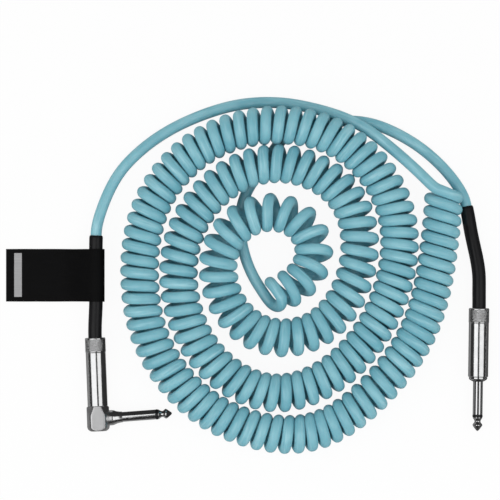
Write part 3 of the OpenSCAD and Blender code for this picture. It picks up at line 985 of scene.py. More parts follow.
@dataclass
class Sweep:
    """A tube that follows a line of centres, each with the direction of its first side."""

    centres: Points
    tops: Points

    def headings(self) -> Points:
        """Direction of the line at each centre."""
        return unit(np.gradient(self.centres, axis=0))

    def along(self) -> Points:
        """Distance of each centre from the start, in millimetres."""
        return distances(self.centres)

    def rings(self, radii: Points, sides: int) -> tuple[Points, Points]:
        """Vertices round every centre.

        Args:
            radii: the radius at each centre.
            sides: how many vertices a ring has.

        Returns:
            The vertices and their places round and along the tube.
        """
        ahead = self.headings()
        side = unit(np.cross(ahead, self.tops))
        over = np.cross(side, ahead)
        angles = np.arange(sides) * math.tau / sides
        cos, sin = np.cos(angles)[None, :, None], np.sin(angles)[None, :, None]
        arms = cos * over[:, None, :] + sin * side[:, None, :]
        points = self.centres[:, None, :] + np.asarray(radii)[:, None, None] * arms
        far = np.repeat(self.along()[:, None] * MM, sides, axis=1)[..., None]
        lay = np.concatenate([np.repeat(cos, len(far), 0), np.repeat(sin, len(far), 0), far], 2)
        return points.reshape(-1, 3), lay.reshape(-1, 3)

    def solid(self, name: str, radii: Points, sides: int, finish: Finish) -> Piece:
        """A closed tube, filled at both ends.

        Args:
            name: the piece's name.
            radii: the radius at each centre.
            sides: how many vertices a ring has.
            finish: its finish.

        Returns:
            The piece.
        """
        points, lay = self.rings(radii, sides)
        faces = [tuple(reversed(f)) for f in ring_faces(len(self.centres), sides, False)]
        last = len(points) - sides
        faces += [tuple(range(sides)), tuple(last + k for k in reversed(range(sides)))]
        return mesh_object(name, points, faces, lay, finish, SHARP_TUBE_EDGE)

    def bored(self, name: str, outer: Points, inner: Points, sides: int, finish: Finish) -> Piece:
        """A tube with a bore, from the radii outside and inside at each centre.

        Args:
            name: the piece's name.
            outer: the radius outside at each centre.
            inner: the radius of the bore at each centre.
            sides: how many vertices a ring has.
            finish: its finish.

        Returns:
            The piece.
        """
        points, lay = self.rings(outer, sides)
        hollow, hollow_lay = self.rings(inner, sides)
        count = len(self.centres)
        back = np.arange(count)[::-1]
        hollow = hollow.reshape(count, sides, 3)[back].reshape(-1, 3)
        hollow_lay = hollow_lay.reshape(count, sides, 3)[back].reshape(-1, 3)
        faces = [tuple(reversed(f)) for f in ring_faces(2 * count, sides, True)]
        return mesh_object(name, np.concatenate([points, hollow]), faces,
                           np.concatenate([lay, hollow_lay]), finish, SHARP_TUBE_EDGE)


def joined_by(target: Piece, tool: Piece, operation: str) -> None:
    """Cut a piece by another or join another to it, and remove the other.

    Args:
        target: the piece that stays.
        tool: the piece that is used up.
        operation: UNION or DIFFERENCE.
    """
    modifier = target.modifiers.new(operation, "BOOLEAN")
    modifier.operation = operation
    modifier.solver = "EXACT"
    modifier.object = tool
    depsgraph = bpy.context.evaluated_depsgraph_get()
    mesh = bpy.data.meshes.new_from_object(target.evaluated_get(depsgraph))
    target.modifiers.remove(modifier)
    old = target.data
    target.data = mesh
    mesh.name = target.name
    bpy.data.meshes.remove(old)
    bpy.data.objects.remove(tool)
    mesh.shade_smooth()
    mesh.set_sharp_from_angle(angle=math.radians(SHARP_EDGE))


def box_object(name: str, low: Sequence[float], high: Sequence[float], place: Matrix,
               finish: Finish) -> Piece:
    """A plain block between two corners, used as a cutting tool.

    Args:
        name: the block's name.
        low: the corner with the least x, y and z, in millimetres.
        high: the corner with the greatest.
        place: where the block's own frame stands, in millimetres.
        finish: its finish.

    Returns:
        The block.
    """
    corners = np.array([[x, y, z] for z in (low[2], high[2]) for y in (low[1], high[1])
                        for x in (low[0], high[0])], float)
    faces = [(0, 2, 3, 1), (4, 5, 7, 6), (0, 1, 5, 4), (2, 6, 7, 3), (0, 4, 6, 2), (1, 3, 7, 5)]
    world = np.array(place)
    return mesh_object(name, corners @ world[:3, :3].T + world[:3, 3], faces, None, finish)


# ---- Routes ----


@dataclass
class Route:
    """A smooth curve led by guide points: a uniform cubic B-spline."""

    guides: Points

    @property
    def spans(self) -> int:
        """How many spans the curve has."""
        return len(self.guides) - 3

    def mixed(self, u: Points, shares: Callable[[Points], list[Points]], whole: int) -> Points:
        """Mix the four guide points of each parameter's span.

        Args:
            u: the parameters, from 0 to the number of spans.
            shares: makes the four shares from how far each parameter is through its span.
            whole: what the shares are divided by.

        Returns:
            One row for each parameter.
        """
        u = np.atleast_1d(np.asarray(u, float))
        span = np.clip(np.floor(u).astype(int), 0, self.spans - 1)
        mix = np.stack(shares(u - span), axis=1) / whole
        guides = np.asarray(self.guides, float)
        return sum(mix[:, k:k + 1] * guides[span + k] for k in range(4))

    def at(self, u: Points) -> Points:
        """Points of the curve at the parameters u."""
        return self.mixed(u, lambda f: [(1 - f) ** 3, 3 * f**3 - 6 * f**2 + 4,
                                        -3 * f**3 + 3 * f**2 + 3 * f + 1, f**3], 6)

    def rates(self, u: Points) -> Points:
        """How fast the curve moves at the parameters u."""
        return self.mixed(u, lambda f: [-((1 - f) ** 2), 3 * f**2 - 4 * f,
                                        -3 * f**2 + 2 * f + 1, f**2], 2)

    def sampled(self, per_span: int) -> Points:
        """Points along the whole curve, so many to a span."""
        return self.at(np.linspace(0, self.spans, self.spans * per_span + 1))


# Spacing in millimetres of the guide points that hold a route straight at its ends
LEAD_IN = 7.0


def straight_in(point: Sequence[float], heading: Sequence[float],
                spacing: float = LEAD_IN) -> list[Points]:
    """Three guide points in line, so that a route starts or ends at a point with a heading."""
    point, heading = np.array(point, float), np.array(heading, float)
    return [point - spacing * heading, point, point + spacing * heading]


# Mouth of each sleeve, and the way the cord goes on from it
MOUTHS = {
    PlugKind.ANGLED: ((-98, 53.2, 6.6), unit([0.03, 1, 0])),
    PlugKind.STRAIGHT: ((141.0, 71.9, 4.2), unit([-0.2, 0.98, -0.05])),
}
# Guide points of the sleeves between plug and mouth
SLEEVE_ROUTES = {
    PlugKind.ANGLED: [
        (-98.6, -1, 6.6), (-98.1, 8, 6.6), (-98.05, 18, 6.6), (-98.05, 28, 6.6), (-98.05, 38, 6.6)
    ],
    PlugKind.STRAIGHT: [
        (149.1, 19, 6.6), (149.3, 27.5, 6.2), (148.1, 36.5, 5.7), (146, 46, 5.3), (144, 55, 4.9)
    ],
}
# Guide points of the two leads between sleeve and curls, each from the sleeve on
LEAD_ROUTES = {
    PlugKind.ANGLED: [
        (-92.2, 77.4, 3.6), (-83.8, 93.9, 3.6), (-71.9, 106.4, 3.6), (-57.9, 117.3, 3.6),
        (-43, 125.6, 3.6), (-26.4, 132.5, 3.6), (-9.5, 137.5, 3.6), (7.5, 139.5, 3.6),
        (25, 139, 3.6), (42.5, 135.5, 4.8), (59, 130.5, 11.8), (74.5, 123.5, 11.8),
        (87.5, 113.5, 12.5), (98, 104.6, 14.5), (106.5, 96.8, 17.2), (113.4, 90, 20)
    ],
    PlugKind.STRAIGHT: [
        (131.7, 91.0, 3.6), (121.1, 102.3, 3.6), (109, 112, 3.6), (96, 119.5, 3.6),
        (82, 125.5, 3.6), (68, 127.6, 3.6), (54.5, 126.8, 3.6), (41.5, 125.2, 3.6),
        (29.5, 121.6, 3.6), (20.5, 114.4, 3.6), (14.5, 104.8, 3.6), (7.5, 94.8, 3.6),
        (0.5, 84.5, 3.6), (-4, 74, 3.6), (-5.4, 62, 3.6), (-4.6, 49.5, 3.6), (-1, 36, 3.6),
        (3.6, 26, 3.6), (8.2, 18.8, 3.6), (12, 12.9, 3.6), (15.6, 8.4, 4.2), (19.9, 6.6, 9.5),
        (21.9, 9.6, 17.5)
    ],
}
# Middle of the axis of the curls: curl, x, y, lift over what lies below
AXIS_ROUTE = [
    (-4, 125, 113.9, 0), (-0.2, 127, 82.2, 0), (4.8, 123.2, 44.4, 0), (10, 116.4, 3.8, 0),
    (15, 100.6, -27.7, 0), (20, 68.4, -62.1, 0), (25, 35.1, -78.7, 0), (30, -8.9, -70.5, 0),
    (35, -42.3, -48.8, 0), (40, -66.3, -12.3, 0), (45, -71.4, 29.1, 0), (50, -66.8, 69.3, 0),
    (55, -43.4, 104.3, 0), (60, -6.5, 123.9, 3), (65, 37.6, 125.9, 10.2), (70, 74.6, 107.8, 3.5),
    (75, 98.4, 71.4, 0), (80, 98.3, 31.4, 0), (85, 84.2, -6.5, 0), (90, 57.1, -37.9, 0),
    (95, 16.5, -54.4, 0), (100, -23.9, -33.1, 0), (105, -44.7, 3.8, 0), (110, -46.6, 49.3, 0),
    (115, -23.2, 86.9, 4), (120, 17.7, 105.2, 10.2), (125, 61.6, 88, 0), (129, 75.4, 53.3, 0),
    (133, 67.4, 14, 0), (137, 42.9, -13.3, 0), (141, 3.9, -14.5, 0), (145, -20.8, 15.8, 0),
    (148.5, -19.7, 51.6, 7.5), (151.5, 6.1, 71, 7.5), (154, 35.4, 66, 0), (156.25, 46.4, 40.9, 0),
    (158.375, 32.9, 20.1, 0), (160.5, 12.4, 14.1, 0), (162.625, 5, 0, 0)
]


def carried(centres: Points, first: Points) -> Points:
    """First sides along a line of centres, each turned no more than the line bends.

    Args:
        centres: the line.
        first: the first side at its start.

    Returns:
        The first side at each centre.
    """
    side = np.array(first, float)
    made = []
    for way in unit(np.gradient(centres, axis=0)):
        side = unit(side - (side @ way) * way)
        made.append(side)
    return np.array(made)


@dataclass
class CurlyCord:
    """The free cord from sleeve to sleeve: a lead, the curly section and the other lead."""

    diameter: float = 7.15
    winding_radius: float = 9.05
    outer_diameter: float = 25.25
    run_ahead: float = 20.0
    rings_per_curl: int = 24
    rings_per_lead_span: int = 5
    sides: int = 20
    straight_end: float = 3.5
    nudge: float = 0.001
    least_gap: float = 0.01
    first_skew: float = 0.26
    first_fade: float = 0.6
    last_skew: float = -0.22
    last_fade: float = 2.0
    last_turn: float = 160.0
    last_straight: float = 1.5
    last_tilt: float = -0.2
    bowed: float = -0.3
    bowed_turns: float = 0.25
    axis: Route = field(default_factory=lambda: Route(np.array(AXIS_ROUTE, float)))

    def radials(self, u: Points) -> Points:
        """Direction from the curls' axis to the cord at the parameters u.

        Args:
            u: the parameters.

        Returns:
            A direction for each parameter.
        """
        turned = self.axis.at(u)[:, 0] * math.tau
        way = self.axis.rates(u)[:, 1:3]
        flat = unit(way)
        angle = math.pi / 2 - turned - math.radians(self.run_ahead) * np.sin(turned)
        return np.stack([-flat[:, 1] * np.cos(angle), flat[:, 0] * np.cos(angle),
                         np.sin(angle)], axis=1)

    def curl_points(self, u: Points) -> Points:
        """Middle of the cord in the curls at the parameters u.

        The windings lean over at both ends, and the last quarter-turn is bowed back.

        Args:
            u: the parameters.

        Returns:
            A point for each parameter, in millimetres.
        """
        rows = self.axis.at(u)
        middle = rows[:, 1:4] + np.array([0, 0, self.outer_diameter / 2])
        arms = self.radials(u)
        flat = unit(self.axis.rates(u)[:, 1:3])
        side = flat[:, 0] * arms[:, 1] - flat[:, 1] * arms[:, 0]
        u = np.asarray(u, float)
        skew = (self.first_skew * np.exp(-u / self.first_fade)
                + self.last_skew * np.exp((u - self.axis.spans) / self.last_fade))
        tilt = self.last_tilt * np.exp((u - self.axis.spans) / self.last_fade)
        share = np.clip(1 - (self.last_turn - rows[:, 0]) / self.bowed_turns, 0, 1)
        shift = (self.winding_radius * (skew * side + tilt * arms[:, 2])
                 + self.bowed * share**2 * (3 - 2 * share))
        drift = np.stack([flat[:, 0], flat[:, 1], 0 * shift], axis=1) * shift[:, None]
        return middle + self.winding_radius * arms + drift

    def last(self) -> float:
        """Parameter at which the curls end and the inner lead takes over."""
        u = np.linspace(0, self.axis.spans, 100 * self.axis.spans + 1)
        return float(np.interp(self.last_turn, self.axis.at(u)[:, 0], u))

    def parameters(self) -> Points:
        """Parameters of the rings of the curly section.

        Returns:
            The parameters, from the first curl to the last.
        """
        made: list[float] = []
        last = self.last()
        for i in range(self.axis.spans):
            passed = self.axis.at([i, i + 1])[:, 0]
            count = math.ceil(self.rings_per_curl * (passed[1] - passed[0]))
            made += [i + k / count for k in range(count)
                     if i + k / count < last - self.least_gap]
        return np.array([*made, last])

    def end(self, u: float, straight: float) -> tuple[Points, Points]:
        """Where the curly section ends, straight and level for a short way.

        Args:
            u: the parameter of the curls' first or last point.
            straight: how far the straight way goes on in millimetres, below 0 at the start.

        Returns:
            The end point and the level heading there, in the direction of the curls.
        """
        low, high = max(u - self.nudge, 0), min(u + self.nudge, self.axis.spans)
        heading = np.diff(self.curl_points([low, high]), axis=0)[0]
        heading[2] = 0
        heading = unit(heading)
        return self.curl_points([u])[0] + straight * heading, heading

    def lead(self, kind: PlugKind, end: Points, heading: Points, straight: float) -> Points:
        """Points of a lead from its sleeve's mouth to the curls.

        Args:
            kind: the plug that the lead goes to.
            end: where the curly section ends.
            heading: the level heading with which the lead arrives there.
            straight: how long the straight way there is, in millimetres.

        Returns:
            The points in millimetres, from the sleeve on.
        """
        mouth, leave = MOUTHS[kind]
        guides = [*straight_in(mouth, leave), *map(np.array, LEAD_ROUTES[kind]),
                  *straight_in(end, heading, straight)]
        return Route(np.array(guides, float)).sampled(self.rings_per_lead_span)

    def sweep(self) -> Sweep:
        """The whole cord's centres and first sides.

        Returns:
            The sweep from the angled plug's sleeve to the straight plug's.
        """
        u = self.parameters()
        start, first = self.end(0.0, -self.straight_end)
        finish, last = self.end(self.last(), self.last_straight)
        before = self.lead(PlugKind.ANGLED, start, first, self.straight_end)
        after = self.lead(PlugKind.STRAIGHT, finish, -last, self.last_straight)[::-1]
        centres = np.concatenate([before, self.curl_points(u), after])
        tops = np.concatenate([np.tile(UP, (len(before), 1)), self.radials(u),
                               carried(after, UP)])
        return Sweep(centres, tops)

    def build(self) -> Piece:
        """Returns:
            The cord.
        """
        sweep = self.sweep()
        radii = np.full(len(sweep.centres), self.diameter / 2)
        made = sweep.solid("curly_cord", radii, self.sides, JACKET)
        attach(made, Body.CABLE.value)
        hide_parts("curly_section", "angled_lead", "straight_lead")
        length = round(float(sweep.along()[-1]) * MM, 2)
        log.info("curly_cord: %.2f m of cord in %d rings", length, len(sweep.centres))
        return made


# ---- The plugs ----

# The screw thread between each shell and its collar, in millimetres, and its profile: how steep
# its flanks are, and how much of its crest is left flat
THREAD_PITCH, THREAD_DEPTH, THREAD_RUN_OUT = 0.75, 0.28, 0.5
THREAD_STEEPNESS, THREAD_CREST = 1.4, 0.2
# How near to a wall's radius a vertex is that counts as part of the wall, in millimetres
WALL_SLACK = 0.02


@dataclass
class PlugPlace:
    """Where a plug lies: the middle of its shell's front edge, and its turn seen from above."""

    kind: PlugKind
    front: tuple[float, float, float]
    turn: float
    flange: float = 3.0
    head_middle: float = 8.0
    lean: float = 2.0
    reach: float = 15.8

    def frame(self) -> Matrix:
        """The plug's own frame: +Z forwards along the shell, +Y up."""
        return (Matrix.Translation(self.front) @ Matrix.Rotation(math.radians(self.turn), 4, "Z")
                @ Matrix.Rotation(math.pi / 2, 4, "X"))

    def shoulder(self) -> Matrix:
        """The jack's frame: +Z from the shaft's shoulder to its point.

        Returns:
            The frame, in millimetres.
        """
        if self.kind is PlugKind.STRAIGHT:
            return self.frame() @ Matrix.Translation((0, 0, self.flange))
        across = Matrix.Rotation(math.radians(90 + self.lean), 4, "Y")
        return (self.frame() @ Matrix.Translation((0, 0, self.head_middle)) @ across
                @ Matrix.Translation((0, 0, self.reach)))

    def behind(self, distance: float) -> Points:
        """A point on the plug's axis, so far behind the shell's front edge."""
        turn = math.radians(self.turn)
        return np.array(self.front) + distance * np.array([-math.sin(turn), math.cos(turn), 0])

    def named(self, piece: str) -> str:
        """A piece's name with the plug's name before it."""
        return f"{self.kind.value}_{piece}"

    def carry(self, made: Piece, node: str, body: Body = Body.CABLE) -> Piece:
        """Let a piece ride on a body in the place of one of the plug's solids.

        Args:
            made: the piece.
            node: the solid's name without the plug's.
            body: the body.

        Returns:
            The piece.
        """
        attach(made, body.value)
        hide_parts(self.named(node))
        log.info("%s", made.name)
        return made


@dataclass
class Sleeve:
    """Heat-shrink sleeve over the cord's end, and the cord's jacket inside it."""

    place: PlugPlace
    diameter: float = 8.8
    bore: float = 7.2
    cord: float = 7.0
    shell_length: float = 44.0
    starts_behind: float = 34.0
    jacket_behind: float = 25.0
    sides: int = 32
    per_span: int = 8
    lip: float = 0.9
    lip_depth: float = 0.42
    waves: int = 5
    wave_lengths: tuple[float, float] = (2.5, 9.0)
    wave_depth: float = 0.035
    seed: int = 5

    def route(self, start: float) -> Sweep:
        """The line of centres from so far behind the shell's front edge to the mouth.

        Args:
            start: how far behind the edge it starts, in millimetres.

        Returns:
            The line, with its first sides up.
        """
        mouth, leave = MOUTHS[self.place.kind]
        guides = [self.place.behind(start + n * LEAD_IN) for n in (-1, 0, 1)]
        far = start + 2 * LEAD_IN
        while far <= self.shell_length + LEAD_IN:
            guides.append(self.place.behind(far))
            far += LEAD_IN
        guides += [np.array(p, float) for p in SLEEVE_ROUTES[self.place.kind]]
        guides += straight_in(mouth, leave)
        centres = Route(np.array(guides)).sampled(self.per_span)
        return Sweep(centres, np.tile(UP, (len(centres), 1)))

    def build(self) -> list[Piece]:
        """Make the sleeve and the jacket's end.

        Returns:
            Both pieces.
        """
        sweep = self.route(self.starts_behind)
        along = sweep.along()
        left = along[-1] - along
        rng = np.random.default_rng(self.seed + len(self.place.kind.value))
        waves = sum(rng.uniform(0.2, 1.0) * np.sin(along / rng.uniform(*self.wave_lengths)
                                                   + rng.uniform(0, 6))
                    for _ in range(self.waves)) / self.waves
        shrunk = self.diameter / 2 + self.wave_depth * waves
        tuck = np.clip(1 - left / self.lip, 0, 1)
        outer = shrunk - self.lip_depth * (1 - np.sqrt(np.clip(1 - tuck**2, 0, 1)))
        inner = np.full(len(along), self.bore / 2)
        made = sweep.bored(self.place.named("heat_shrink_sleeve"), outer, inner, self.sides,
                           SHRINK)
        self.place.carry(made, "sleeve")
        jacket = self.route(self.jacket_behind)
        radii = np.full(len(jacket.centres), self.cord / 2)
        end = jacket.solid(self.place.named("jacket_end"), radii, self.sides, JACKET)
        self.place.carry(end, "cable_end")
        log.info("%s: %.0f mm long", made.name, along[-1])
        return [made, end]


@dataclass
class Shell:
    """Barrel with a knurled grip ring, in one piece, that screws onto the plug from behind."""

    place: PlugPlace
    body: Body
    barrel: float = 12.9
    barrel_length: float = 34.7
    grip: float = 13.2
    grip_length: float = 9.6
    thread: float = 10.1
    thread_length: float = 7.0
    chamber: float = 10.6
    rear_bore: float = 9.2
    rear_wall: float = 2.0
    diamonds: int = 42
    knurl_depth: float = 0.16
    knurl_margin: float = 0.75
    knurl_run_out: float = 0.35
    crest_slope: float = 2.2
    chamfer: float = 0.45
    joint_groove: float = 0.28
    segments: int = 336
    knurl_rings: int = 58

    def relief(self) -> Relief:
        """The diamond knurl of the grip ring.

        Returns:
            What the knurl makes of the radius.
        """
        low = -self.barrel_length - self.grip_length + self.knurl_margin
        high = -self.barrel_length - self.knurl_margin
        pitch = math.pi * self.grip / self.diamonds

        def cut(angle: Points, height: Points, radius: Points) -> Points:
            """Cut two crossing sets of grooves into the outer wall of the grip.

            Args:
                angle: each vertex's angle round the piece.
                height: its height in millimetres.
                radius: its radius in millimetres.

            Returns:
                The new radius.
            """
            round_share = angle * self.diamonds / math.tau
            along_share = height / pitch
            one = np.abs(np.mod(round_share + along_share, 1) - 0.5) * 2
            two = np.abs(np.mod(round_share - along_share, 1) - 0.5) * 2
            crest = np.clip(self.crest_slope * np.minimum(one, two), 0, 1)
            run_out = np.clip(np.minimum(height - low, high - height) / self.knurl_run_out, 0, 1)
            outer = radius > self.grip / 2 - WALL_SLACK
            return radius - outer * run_out * self.knurl_depth * (1 - crest)

        return cut

    def outline(self) -> Points:
        """The shell's outline from the front edge back along the outside and forward inside.

        Returns:
            The outline's points.
        """
        rear = -self.barrel_length - self.grip_length
        grip, barrel = self.grip / 2, self.barrel / 2
        joint = -self.barrel_length
        outside = [
            (self.thread / 2, 0.0, 0.08), (self.thread / 2, -self.thread_length, 0.1),
            (self.chamber / 2, -self.thread_length, 0.1),
            (self.chamber / 2, rear + self.rear_wall, 0.3),
            (self.rear_bore / 2, rear + self.rear_wall, 0.15), (self.rear_bore / 2, rear, 0.25),
            (grip - self.chamfer, rear, 0.18), (grip, rear + self.chamfer, 0.2),
        ]
        knurl = divided((grip, rear + self.knurl_margin - 0.1),
                        (grip, joint - self.knurl_margin + 0.1), self.knurl_rings)
        front = [
            (grip, joint - 0.42, 0.12), (grip - self.joint_groove, joint - 0.1, 0.08),
            (barrel - 0.1, joint, 0.05), (barrel, joint + 0.16, 0.1), (barrel, -0.3, 0.15),
            (barrel - 0.3, 0.0, 0.12),
        ]
        return filleted([*outside, *knurl, *front])

    def build(self) -> Piece:
        """Make the shell.

        Returns:
            The shell.
        """
        made = lathe(self.place.named("screw_on_shell"), self.outline(), SHELL_PLATE,
                     self.place.frame(), self.segments, self.relief())
        return self.place.carry(made, "shell", self.body)


def thread_relief(low: float, high: float, outer: float) -> Relief:
    """A screw thread cut into the wall of the given radius between two heights.

    Args:
        low: the height where it starts.
        high: the height where it ends.
        outer: only walls at about this radius are cut.

    Returns:
        The relief.
    """

    def cut(angle: Points, height: Points, radius: Points) -> Points:
        """Cut the groove that winds round the wall.

        Args:
            angle: each vertex's angle round the piece.
            height: its height in millimetres.
            radius: its radius in millimetres.

        Returns:
            The new radius.
        """
        phase = np.mod(height / THREAD_PITCH + angle / math.tau, 1)
        groove = THREAD_STEEPNESS * (1 - 2 * np.abs(phase - 0.5)) - THREAD_CREST
        groove = np.clip(groove, 0, 1)
        run_out = np.clip(np.minimum(height - low, high - height) / THREAD_RUN_OUT, 0, 1)
        wall = np.abs(radius - outer) < WALL_SLACK
        return radius - wall * run_out * THREAD_DEPTH * groove

    return cut


# Radius of the tip in front of its base, distance to its point, and fillet
TIP_PROFILE = [
    (2.62, 7.8, 0.6), (2.2, 7.1, 0.6), (1.95, 6.4, 0.5), (1.97, 5.85, 0.4), (2.25, 5.35, 0.5),
    (2.75, 4.75, 0.6), (3.08, 4.25, 0.5), (3.17, 3.9, 0.4), (3.04, 3.45, 0.6), (2.65, 2.85, 0.8),
    (2.1, 2.1, 0.8), (1.4, 1.2, 0.6), (0.85, 0.55, 0.4), (0.4, 0.12, 0.2), (0.0, 0.0, 0.0)
]


@dataclass
class Jack:
    """Contacts of a plug: the shaft, its black ring and the tip with its rod."""

    place: PlugPlace
    back: float
    washer: float
    shaft: float = 6.35
    shaft_length: float = 21.4
    ring_width: float = 1.7
    ring: float = 6.6
    length: float = 31.95
    bore: float = 4.0
    rod: float = 2.5
    lug: float = 0.5
    rivet: float = 3.4
    rivet_height: float = 0.6
    base: float = 6.1
    edge: float = 0.12

    def ring_piece(self) -> Piece:
        """The black ring in front of the shaft, with the stem that lines the shaft's bore.

        Returns:
            The ring.
        """
        front = self.shaft_length + self.ring_width
        outline = filleted([
            (self.rod / 2, self.back), (self.bore / 2, self.back, 0.1),
            (self.bore / 2, self.shaft_length), (self.shaft / 2 - 0.1, self.shaft_length),
            (self.ring / 2, self.shaft_length + 0.25, 0.12), (self.ring / 2, front - 0.3, 0.15),
            (self.base / 2, front, 0.1), (self.rod / 2, front)
        ])
        made = lathe(self.place.named("insulating_ring"), outline, INSULATOR,
                     self.place.shoulder())
        return self.place.carry(made, "ring_insulator")

    def tip_outline(self) -> Points:
        """The tip, its rod and the rivet head behind the lug, from axis to axis.

        Returns:
            The outline's points.
        """
        base = self.shaft_length + self.ring_width
        rear = self.back - self.washer - self.lug - self.rivet_height
        made = [(0, rear), (self.rivet / 2, rear, 0.25),
                (self.rivet / 2, rear + self.rivet_height),
                (self.rod / 2, rear + self.rivet_height), (self.rod / 2, base),
                (self.base / 2, base, 0.1), (self.base / 2, base + 0.45, 0.15)]
        made += [(radius, self.length - left, fillet) for radius, left, fillet in TIP_PROFILE]
        return filleted(made, closed=False, steps=5, guard=0.05)

    def tip_piece(self) -> Piece:
        """The tip.

        Returns:
            The tip.
        """
        made = lathe(self.place.named("contact_tip"), self.tip_outline(), CONTACT_PLATE,
                     self.place.shoulder(), closed=False)
        return self.place.carry(made, "tip")

    def shaft_corners(self) -> list[tuple[float, ...]]:
        """Outline corners of the shaft's chamfered front edge."""
        return [(self.shaft / 2, self.shaft_length - self.edge, 0.08),
                (self.shaft / 2 - self.edge, self.shaft_length, 0.05)]

    def build(self) -> list[Piece]:
        """Make the ring and the tip."""
        return [self.ring_piece(), self.tip_piece()]


@dataclass
class StraightBody:
    """Threaded collar, chamfered flange and shaft of the straight plug, in one piece."""

    place: PlugPlace
    jack: Jack
    collar: float = 10.0
    collar_rear: float = -9.0
    flange: float = 11.9
    flange_rear: float = -3.0
    rim: float = 1.25
    groove: float = 0.35
    boss: float = 6.8
    boss_length: float = 0.25
    thread_rings: int = 60
    segments: int = 144

    def build(self) -> Piece:
        """Make the body.

        Returns:
            The body.
        """
        bore, collar = self.jack.bore / 2, self.collar / 2
        thread = divided((collar, self.collar_rear + 0.3), (collar, self.flange_rear - 0.3),
                         self.thread_rings)
        corners = [
            (bore, self.collar_rear), (collar - 0.3, self.collar_rear, 0.1),
            (collar, self.collar_rear + 0.3), *thread, (collar, self.flange_rear),
            (self.flange / 2 - self.groove, self.flange_rear),
            (self.flange / 2 - self.groove, self.flange_rear + 0.22),
            (self.flange / 2, self.flange_rear + 0.4, 0.1),
            (self.flange / 2, self.flange_rear + self.rim, 0.3),
            (self.flange / 2 - 0.65, -1.0, 0.4), (self.boss / 2 + 0.45, -self.boss_length, 0.2),
            (self.boss / 2, 0, 0.15), (self.jack.shaft / 2, 0.02, 0.1), *self.jack.shaft_corners(),
            (bore, self.jack.shaft_length)
        ]
        relief = thread_relief(self.collar_rear + 0.2, self.flange_rear - 0.2, collar)
        made = lathe(self.place.named("threaded_body_and_shaft"), filleted(corners), CONTACT_PLATE,
                     self.place.shoulder(), self.segments, relief)
        return self.place.carry(made, "body")


# Outside of the angled plug's neck: radius, distance from the shoulder, and fillet
NECK_PROFILE = [
    (4.9, -10.8), (4.9, -6.9, 0.5), (4.86, -6.2, 0.4), (4.6, -5.3, 0.3), (4.15, -4.2), (3.8, -3.0),
    (3.6, -1.8), (3.48, -0.6), (3.42, -0.1, 0.1), (3.25, 0.0, 0.05)
]


